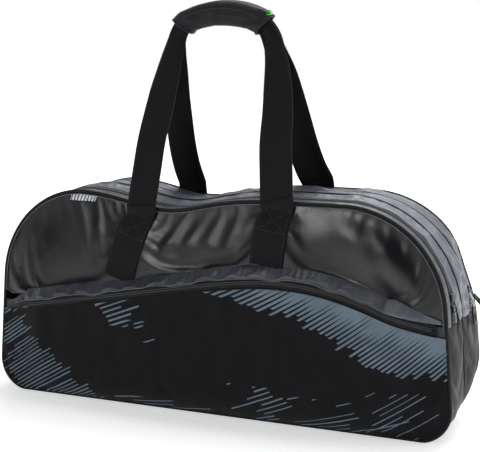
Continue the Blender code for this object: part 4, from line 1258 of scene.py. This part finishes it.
def stitches(name, lines, radius, material, body, slot):
    """One piece holding many short rounded stitches."""
    verts, faces = [], []
    for a, b in lines:
        way = b - a
        size = np.linalg.norm(way)
        way = way / size
        side = np.cross(way, (0.3, 0.2, 0.9))
        side /= np.linalg.norm(side)
        other = np.cross(way, side)
        first = len(verts)
        for t, k in ((0.0, 0.45), (0.18, 1.0), (0.82, 1.0), (1.0, 0.45)):
            for j in range(5):
                angle = 2 * math.pi * j / 5
                round_way = side * math.cos(angle) + other * math.sin(angle)
                verts.append(a + way * size * t + radius * k * round_way)
        for ring in range(3):
            for j in range(5):
                p = first + ring * 5
                q = (j + 1) % 5
                faces.append((p + j, p + q, p + 5 + q, p + 5 + j))
        faces.append(tuple(first + j for j in reversed(range(5))))
        faces.append(tuple(first + 15 + j for j in range(5)))
    mesh = bpy.data.meshes.new(name)
    mesh.from_pydata([tuple(v) for v in verts], [], faces)
    layer = mesh.uv_layers.new(name="UVMap")
    for loop in mesh.loops:
        co = mesh.vertices[loop.vertex_index].co
        layer.data[loop.index].uv = (co.x, co.z)
    shade_smooth(mesh)
    mesh.materials.append(material)
    place(add_object(name, mesh), body, None, slot)


# piece, depth sign, lower end (x, z), width, handle and its side
ANCHORS = (
    ("front_anchor_left", -1.0, (-0.1440, 0.1985), 0.0490, "front_handle", "left"),
    ("front_anchor_right", -1.0, (0.0990, 0.2370), 0.0510, "front_handle", "right"),
    ("rear_anchor_left", 1.0, (-0.1060, 0.1700), 0.0495, "rear_handle", "left"),
    ("rear_anchor_right", 1.0, (0.1080, 0.1700), 0.0505, "rear_handle", "right"),
)
for name, sign, low, width, handle, side in ANCHORS:
    tree, body = (front_tree, "front_lid_cloth") if sign < 0 else (rear_tree, "rear_lid_cloth")
    node = name.replace("anchor", "strap_anchor")
    base = BASES[handle, side]
    path = anchor_path(tree, sign, low, base, 70, 0.0014)
    count = len(path)
    way = np.array([base[0][0] - low[0] - MID_X, 0.0, base[0][2] - low[1]])
    way /= np.linalg.norm(way)
    across = np.tile(np.cross(way, (0.0, 1.0, 0.0)), (count, 1))
    share = smooth((np.arange(count) / (count - 1) - 0.62) / 0.38)[:, None]
    across = lerp(across, base[2] * np.sign(base[2] @ across[0]), share)
    outward = np.tile((0.0, sign, 0.0), (count, 1))
    widths = lerp(width, base[3], share[:, 0])
    place(ribbon(name, path, widths, across, outward, 0.0021, MAT["webbing"], rows=11), body, node, "webbing")
    # a box and a cross of stitches below the fold, and a row along each edge
    top, start = int(count * 0.88), int(count * (0.88 - 0.034 / max(0.05, base[0][2] - low[1])))
    inner = path[start:top] + np.array([0.0, sign * 0.0013, 0.0])
    side_way = across[0] * width * 0.41
    left, right = inner - side_way, inner + side_way
    lines = []
    for run in (left, right, np.array([left[0], right[0]]), np.array([left[-1], right[-1]]),
                np.linspace(0, 1, 12)[:, None] * (right[-1] - left[0]) + left[0],
                np.linspace(0, 1, 12)[:, None] * (left[-1] - right[0]) + right[0]):
        lines += sewn_line(run)
    for offset in (-0.45, 0.45):
        lines += sewn_line(path[2:start] + across[0] * width * offset + np.array([0.0, sign * 0.0011, 0.0]))
    stitches(name + "_stitches", lines, 0.00038, MAT["thread"], body, "webbing")


# ------------------------------------------------------------------ details of the hand wrap
def wrap_ring(share, inset):
    """Points round the front of the wrap at a share of its length."""
    run, _, normal = wrap_path(200)
    i = int(share * 199)
    out = []
    for depth, rise in wrap_section[::2]:
        out.append((run[i, 0] + normal[i, 0] * (rise * inset) + MID_X, HANDLE_MID_Y + depth * inset,
                    run[i, 1] + normal[i, 1] * rise * inset))
    return np.array(out)


for share, tag in ((0.012, "left"), (0.988, "right")):
    ring, _ = resample(wrap_ring(share, 1.02), 36)
    hem = tube("grip_wrap_hem_" + tag, ring, 0.0015, MAT["wrap"], sides=8, up=(1, 0, 0.2))
    place(hem, "front_handle", None, "wrap")
run, _, normal = wrap_path(120)
lines = []
LAST_SEWN = 112               # the seams run from a first point of the wrap's run to this one
for depth, rise, first in ((-0.0128, 0.0045, 8), (-0.0126, -0.0058, 60), (-0.0070, 0.0150, 8)):
    seam = slice(first, LAST_SEWN)
    x = run[seam, 0] + normal[seam, 0] * rise + MID_X
    z = run[seam, 1] + normal[seam, 1] * rise
    edge = np.stack([x, np.full(len(x), HANDLE_MID_Y + depth), z], axis=1)
    lines += sewn_line(edge, 0.0040, 0.0028)
stitches("grip_wrap_seams", lines, 0.00045, MAT["thread"], "front_handle", "wrap")

# green loop sewn into the end of the wrap
low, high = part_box("grip_label_tab")
centre = (low + high) / 2
loop = []
for i in range(25):
    angle = math.pi * i / 24
    loop.append((centre.x - 0.0085 + 0.0050 * math.sin(angle), 0.0, 0.0036 * math.cos(angle)))
turn = Matrix.Rotation(math.radians(20), 3, "Y")
loop = np.array([turn @ Vector((x - centre.x, 0, z)) + centre for x, _, z in loop])
normals = np.gradient(loop, axis=0)
normals /= np.linalg.norm(normals, axis=1)[:, None]
out_way = np.cross(normals, (0.0, 1.0, 0.0))
place(ribbon("grip_green_loop", loop, [0.0075] * 25, np.tile((0.0, 1.0, 0.0), (25, 1)), out_way, 0.0010,
             MAT["green"], rows=5), "front_handle", "grip_label_tab", "green")

# ------------------------------------------------------------------ reflective badge
low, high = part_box("reflective_patch")
COLS, ROWS = 24, 7
points = np.zeros((ROWS, COLS, 3))
uvs = np.zeros((ROWS, COLS, 2))
for r in range(ROWS):
    for c in range(COLS):
        rise = lerp(-0.0058, 0.0058, r / (ROWS - 1))
        x = lerp(low.x + 0.002, high.x - 0.006, c / (COLS - 1)) + rise * 0.33
        z = (low.z + high.z) / 2 + rise
        y = surface_y(front_tree, x, z, -1.0)
        points[r, c] = (x, (y if y is not None else low.y) - 0.0009, z)
        uvs[r, c] = (x - low.x, rise)
badge = mesh_from_grid("reflective_badge", points, uvs)
face_towards(badge, lambda p: Vector((0, -1, 0)))
finish_sheet(badge, MAT["reflective"], 0.0008, 1)
place(badge, "front_lid_cloth", "reflective_patch", "reflective")
rim_run = np.concatenate([points[0], points[:, -1], points[-1][::-1], points[:, 0][::-1]])
place(tube("reflective_badge_edge", rim_run + np.array([0, -0.0002, 0]), 0.0006, MAT["piping"], sides=6),
      "front_lid_cloth", None, "slate")


# ------------------------------------------------------------------ sliders and pulls
def shoulder(y):
    """Centre and radius of the outline's top corner on the right."""
    height, radius, _ = outline_at(y)
    z = height - radius
    x = LENGTH / 2 - LEAN * z - radius * math.sqrt(1 + LEAN * LEAN)
    return Vector((x + MID_X, y, z)), radius


def axes(centre, outward, along):
    """Matrix with X along the run, Y across it and Z outward."""
    z_axis = Vector(outward).normalized()
    x_axis = (Vector(along) - z_axis * Vector(along).dot(z_axis)).normalized()
    made = Matrix((x_axis, z_axis.cross(x_axis), z_axis)).transposed().to_4x4()
    made.translation = Vector(centre)
    return made


def plate(name, outline, z_low, z_high, matrix, material, body, node, slot, hole=None, bevel=0.0004):
    """A flat piece cut to an outline, with rounded edges and an optional hole."""
    bm = bmesh.new()
    rings = []
    for z in (z_low, z_high):
        rings.append([bm.verts.new((x, y, z)) for x, y in outline])
    count = len(outline)
    for k in range(count):
        m = (k + 1) % count
        bm.faces.new((rings[0][k], rings[0][m], rings[1][m], rings[1][k]))
    if hole is None:
        bm.faces.new(list(reversed(rings[0])))
        bm.faces.new(rings[1])
    else:
        cuts = [[bm.verts.new((x, y, z)) for x, y in hole] for z in (z_low, z_high)]
        for k in range(count):
            m = (k + 1) % count
            bm.faces.new((rings[0][m], rings[0][k], cuts[0][k], cuts[0][m]))
            bm.faces.new((rings[1][k], rings[1][m], cuts[1][m], cuts[1][k]))
            bm.faces.new((cuts[0][k], cuts[1][k], cuts[1][m], cuts[0][m]))
    bmesh.ops.recalc_face_normals(bm, faces=bm.faces)
    sharp = [e for e in bm.edges if abs(e.calc_face_angle(0.0)) > 0.9]
    bmesh.ops.bevel(bm, geom=sharp, offset=bevel, segments=2, profile=0.6, affect="EDGES", clamp_overlap=True)
    layer = bm.loops.layers.uv.new("UVMap")
    for face in bm.faces:
        for loop in face.loops:
            loop[layer].uv = (loop.vert.co.x, loop.vert.co.y)
    bmesh.ops.transform(bm, matrix=matrix, verts=bm.verts)
    mesh = bpy.data.meshes.new(name)
    bm.to_mesh(mesh)
    bm.free()
    shade_smooth(mesh)
    mesh.set_sharp_from_angle(angle=math.radians(50))
    mesh.materials.append(material)
    place(add_object(name, mesh), body, node, slot)


def oval(cx, cy, half_x, half_y, power, count=28):
    out = []
    for k in range(count):
        angle = 2 * math.pi * k / count
        ca, sa = math.cos(angle), math.sin(angle)
        out.append((cx + half_x * math.copysign(abs(ca) ** power, ca),
                    cy + half_y * math.copysign(abs(sa) ** power, sa)))
    return out


SLIDER = ((-0.0055, -0.0030), (-0.0046, -0.0038), (-0.0020, -0.0040), (0.0012, -0.0046), (0.0040, -0.0046),
          (0.0055, -0.0034), (0.0055, -0.0012), (0.0046, 0.0), (0.0055, 0.0012), (0.0055, 0.0034),
          (0.0040, 0.0046), (0.0012, 0.0046), (-0.0020, 0.0040), (-0.0046, 0.0038), (-0.0055, 0.0030))


def slider(name, matrix, body, nodes, hanging, kind, drop, width, thick, swing, aside, pull_body, pull_node):
    """Slider: two plates, its bail, and the puller that hangs from the bail."""
    plate(name + "_top", SLIDER, 0.0002, 0.0014, matrix, MAT["metal"], body, nodes, "metal_black")
    rim_outline = oval(0.0, 0.0, 0.0046, 0.0026, 0.5)
    plate(name + "_rim", rim_outline, 0.0013, 0.0018, matrix, MAT["metal"], body, None, "metal_black",
          bevel=0.0002)
    arc = []
    for i in range(17):
        rise = 0.0014 + 0.0022 * math.sin(math.pi * i / 16) ** 0.6
        arc.append(tuple(matrix @ Vector((lerp(-0.0036, 0.0034, i / 16), 0.0, rise))))
    bail = tube(name + "_bail", arc, 0.00062, MAT["metal"], sides=8, up=tuple(matrix.col[1][:3]))
    place(bail, body, None, "metal_black")
    hinge = matrix @ Vector((hanging, aside, 0.0038))
    turn = Matrix.Translation(hinge) @ matrix.to_3x3().to_4x4() @ Matrix.Rotation(swing, 4, "Y")
    if kind == "oval":
        body_outline = oval(-drop * 0.56, 0.0, drop * 0.44, width / 2, 0.62)
        hole = oval(-drop * 0.62, 0.0, drop * 0.22, width * 0.24, 0.8)
        plate(name + "_puller", body_outline, -thick / 2, thick / 2, turn, MAT["rubber"], pull_body,
              pull_node, "rubber_black", hole=hole, bevel=0.0007)
        neck = [(0.0006, -0.0018), (-drop * 0.16, -0.0022), (-drop * 0.16, 0.0022), (0.0006, 0.0018)]
        plate(name + "_puller_neck", neck, -0.0007, 0.0007, turn, MAT["metal"], pull_body, None,
              "metal_black")
    else:
        cord = [turn @ Vector((-drop * i / 24 * 0.80, 0.0007 * math.sin(i * 0.55), 0.0)) for i in range(25)]
        rope = tube(name + "_strip", [tuple(p) for p in cord], 0.00085, MAT["piping"], sides=8)
        place(rope, pull_body, pull_node, "rubber_black")
        end = oval(-drop * 0.86, 0.0, drop * 0.14, width * 0.48, 0.5, 20)
        plate(name + "_strip_end", end, -thick * 0.55, thick * 0.55, turn, MAT["rubber"], pull_body, None,
              "rubber_black", bevel=0.0005)
        ring = oval(-0.0010, 0.0, 0.0022, 0.0017, 0.7, 20)
        plate(name + "_strip_ring", ring, -0.0006, 0.0006, turn, MAT["metal"], pull_body, None,
              "metal_black", hole=oval(-0.0010, 0.0, 0.0013, 0.0009, 0.9, 20), bevel=0.0002)


# puller: kind, width and thickness
CORD_PULLER = ("cord", 0.0042, 0.0018)
OVAL_PULLER = ("oval", 0.0130, 0.0030)
BAIL_X = -0.0046              # the puller hangs from this end of the bail
# slider, depth, angle round the shoulder, body, puller's body, puller, length, swing, shift aside
SLIDERS = (
    ("front_zip_slider", ZIP1_Y, 11.5, "front_slider", "front_pull", CORD_PULLER, 0.034, 4, 0.0036),
    ("front_zip_end_slider", ZIP1_Y, 5.5, "shell", "front_end_pull", CORD_PULLER, 0.030, 1, -0.0036),
    ("rear_zip_slider", ZIP2_Y, 11.5, "rear_slider", "rear_pull", OVAL_PULLER, 0.030, 32, 0.0),
    ("rear_zip_end_slider", ZIP2_Y, 5.5, "shell", "rear_end_pull", OVAL_PULLER, 0.030, 3, 0.0),
)
for name, y, degrees, body, pull_body, (kind, width, thick), drop, swing, aside in SLIDERS:
    middle, radius = shoulder(y)
    angle = math.radians(degrees)
    out_way = Vector((math.cos(angle), 0, math.sin(angle)))
    matrix = axes(middle + out_way * (radius + 0.0014), out_way, (-math.sin(angle), 0, math.cos(angle)))
    slider(name + "_fine", matrix, body, [name, name + "_bridge"], BAIL_X, kind, drop, width, thick,
           math.radians(swing), aside, pull_body, name.replace("slider", "pull"))

low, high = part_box("pocket_zip_slider")
spot = (low + high) / 2
matrix = axes((spot.x, high.y - 0.0006, spot.z), (0, -1, 0), (1.0, 0.0, 0.186))
kind, width, thick = CORD_PULLER
slider("pocket_zip_slider_fine", matrix, "pocket_slider", ["pocket_zip_slider"], BAIL_X, kind, 0.028, width,
       thick, math.radians(2), 0.0, "pocket_pull", "pocket_zip_pull")

# ------------------------------------------------------------------ inner pieces
def base_board(name, node):
    """Stiffener: a thin board with rounded corners, lying on the base."""
    low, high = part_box(node)
    corner = 0.018
    outline = []
    for cx, cy, first in ((high.x - corner, high.y - corner, 0), (low.x + corner, high.y - corner, 90),
                          (low.x + corner, low.y + corner, 180), (high.x - corner, low.y + corner, 270)):
        for k in range(7):
            angle = math.radians(first + 15 * k)
            outline.append((cx + corner * math.cos(angle), cy + corner * math.sin(angle)))
    plate(name, outline, low.z, high.z, Matrix.Identity(4), MAT["board"], "shell", node, "board",
          bevel=0.0005)


base_board("front_base_stiffener", "front_base_board")
base_board("rear_base_stiffener", "rear_base_board")
INNER_COLS = 110


def inner_sheet(name, low_run, up_run, rows, depth, wave, pitch_x, pitch_z, node, slot):
    """A lining sheet that hangs a little unevenly between its seams."""
    def depth_of(x, z, t, ends):
        return depth + wave * np.sin(x * pitch_x + z * pitch_z) * np.sin(math.pi * t) * ends

    made = ruled_sheet(name, low_run, up_run, rows, depth_of)
    face_towards(made, lambda p: Vector((0, -1, 0)))
    place(finish_sheet(made, MAT["lining"], 0.0012, 1), "shell", node, slot)


low_run, _ = lower_path(MID_Y, 0.0030, INNER_COLS, start=WALL_START)
up_run, _ = upper_path(MID_Y, 0.0030, INNER_COLS, start=WALL_START)
inner_sheet("divider_cloth", low_run, up_run[::-1], 24, MID_Y - 0.0006, 0.0022, 23.0, 14.0, "divider_panel",
            "lining")
low_run, _ = lower_path(FRONT_Y, 0.0040, INNER_COLS, start=POCKET_START)
up_x = np.linspace(low_run[0, 0], low_run[-1, 0], INNER_COLS)
up_run = np.stack([up_x, arch_z(up_x, 0.0060)], axis=1)
inner_sheet("front_lower_wall_cloth", low_run, up_run, 20, FRONT_Y + 0.0004, 0.0014, 31.0, 9.0,
            "front_lower_wall", "coated_black")

# ------------------------------------------------------------------ camera, light and floor
FOCAL = 97.5
YAW, PITCH = math.radians(24.33), math.radians(8.84)
camera_data = bpy.data.cameras.new("camera")
camera_data.lens = FOCAL
camera_data.sensor_width = 36.0
camera = add_object("camera", camera_data)
camera.location = (MID_X + 0.8216, MID_Y + 0.004 - 1.7865, 0.5808)
camera.rotation_euler = (math.pi / 2 - PITCH, 0.0, YAW)
bpy.context.scene.camera = camera


def area_light(name, location, target, size, power):
    data = bpy.data.lights.new(name, "AREA")
    data.energy = power
    data.shape = "RECTANGLE"
    data.size = size
    data.size_y = size
    made = add_object(name, data)
    made.location = location
    made.rotation_euler = (Vector(target) - Vector(location)).to_track_quat("-Z", "Y").to_euler()


area_light("top_softbox", (0.2, 0.9, 2.0), (0.0, 0.1, 0.2), 1.8, 46.0)
area_light("left_front_softbox", (-0.70, -2.40, 1.00), (0.22, 0.0, 0.25), 0.50, 16.0)
area_light("right_softbox", (2.2, 0.5, 0.9), (0.3, 0.0, 0.2), 1.0, 18.0)
area_light("left_softbox", (-2.2, 0.4, 0.8), (-0.3, 0.0, 0.2), 0.7, 5.0)

def ramp_along(tree, coordinates, axis, start, end, low, high):
    """A value that goes from low to high along one axis of the coordinates."""
    parts = tree.nodes.new("ShaderNodeSeparateXYZ")
    tree.links.new(coordinates, parts.inputs[0])
    fade = tree.nodes.new("ShaderNodeMapRange")
    for socket, value in (("From Min", start), ("From Max", end), ("To Min", low), ("To Max", high)):
        fade.inputs[socket].default_value = value
    tree.links.new(parts.outputs[axis], fade.inputs["Value"])
    return fade.outputs["Result"]


def combine(tree, operation, first, second):
    node = tree.nodes.new("ShaderNodeMath")
    node.operation = operation
    tree.links.new(first, node.inputs[0])
    tree.links.new(second, node.inputs[1])
    return node.outputs[0]


# The sky is white to look at, and lights the bag less from the front and the left.
world = bpy.data.worlds.new("studio")
bpy.context.scene.world = world
world.use_nodes = True
sky = world.node_tree
where = sky.nodes.new("ShaderNodeTexCoord").outputs["Generated"]
from_front = ramp_along(sky, where, 1, -0.8, 0.9, 0.10, 0.75)
from_left = ramp_along(sky, where, 0, -0.85, -0.10, 0.15, 1.0)
camera_ray = sky.nodes.new("ShaderNodeLightPath").outputs["Is Camera Ray"]
strength = combine(sky, "MAXIMUM", combine(sky, "MULTIPLY", from_front, from_left), camera_ray)
sky.nodes["Background"].inputs["Color"].default_value = (1.0, 1.0, 1.0, 1.0)
sky.links.new(strength, sky.nodes["Background"].inputs["Strength"])
bpy.context.scene.view_settings.view_transform = "Standard"

# The floor glows more and more towards the back, so that it runs into the white sky.
floor_mesh = bpy.data.meshes.new("studio_floor")
sheet = bmesh.new()
bmesh.ops.create_grid(sheet, x_segments=2, y_segments=2, size=8.0)
sheet.to_mesh(floor_mesh)
sheet.free()
floor = add_object("studio_floor", floor_mesh)
floor_look = bpy.data.materials.new("studio_floor")
floor_look.use_nodes = True
look_tree = floor_look.node_tree
shader = look_tree.nodes["Principled BSDF"]
shader.inputs["Base Color"].default_value = (0.90, 0.905, 0.91, 1.0)
shader.inputs["Roughness"].default_value = 0.30
shader.inputs["Emission Color"].default_value = (1.0, 1.0, 1.0, 1.0)
where = look_tree.nodes.new("ShaderNodeTexCoord").outputs["Object"]
glow = ramp_along(look_tree, where, 1, 0.25, 1.30, 0.50, 1.0)
look_tree.links.new(glow, shader.inputs["Emission Strength"])
floor.data.materials.append(floor_look)
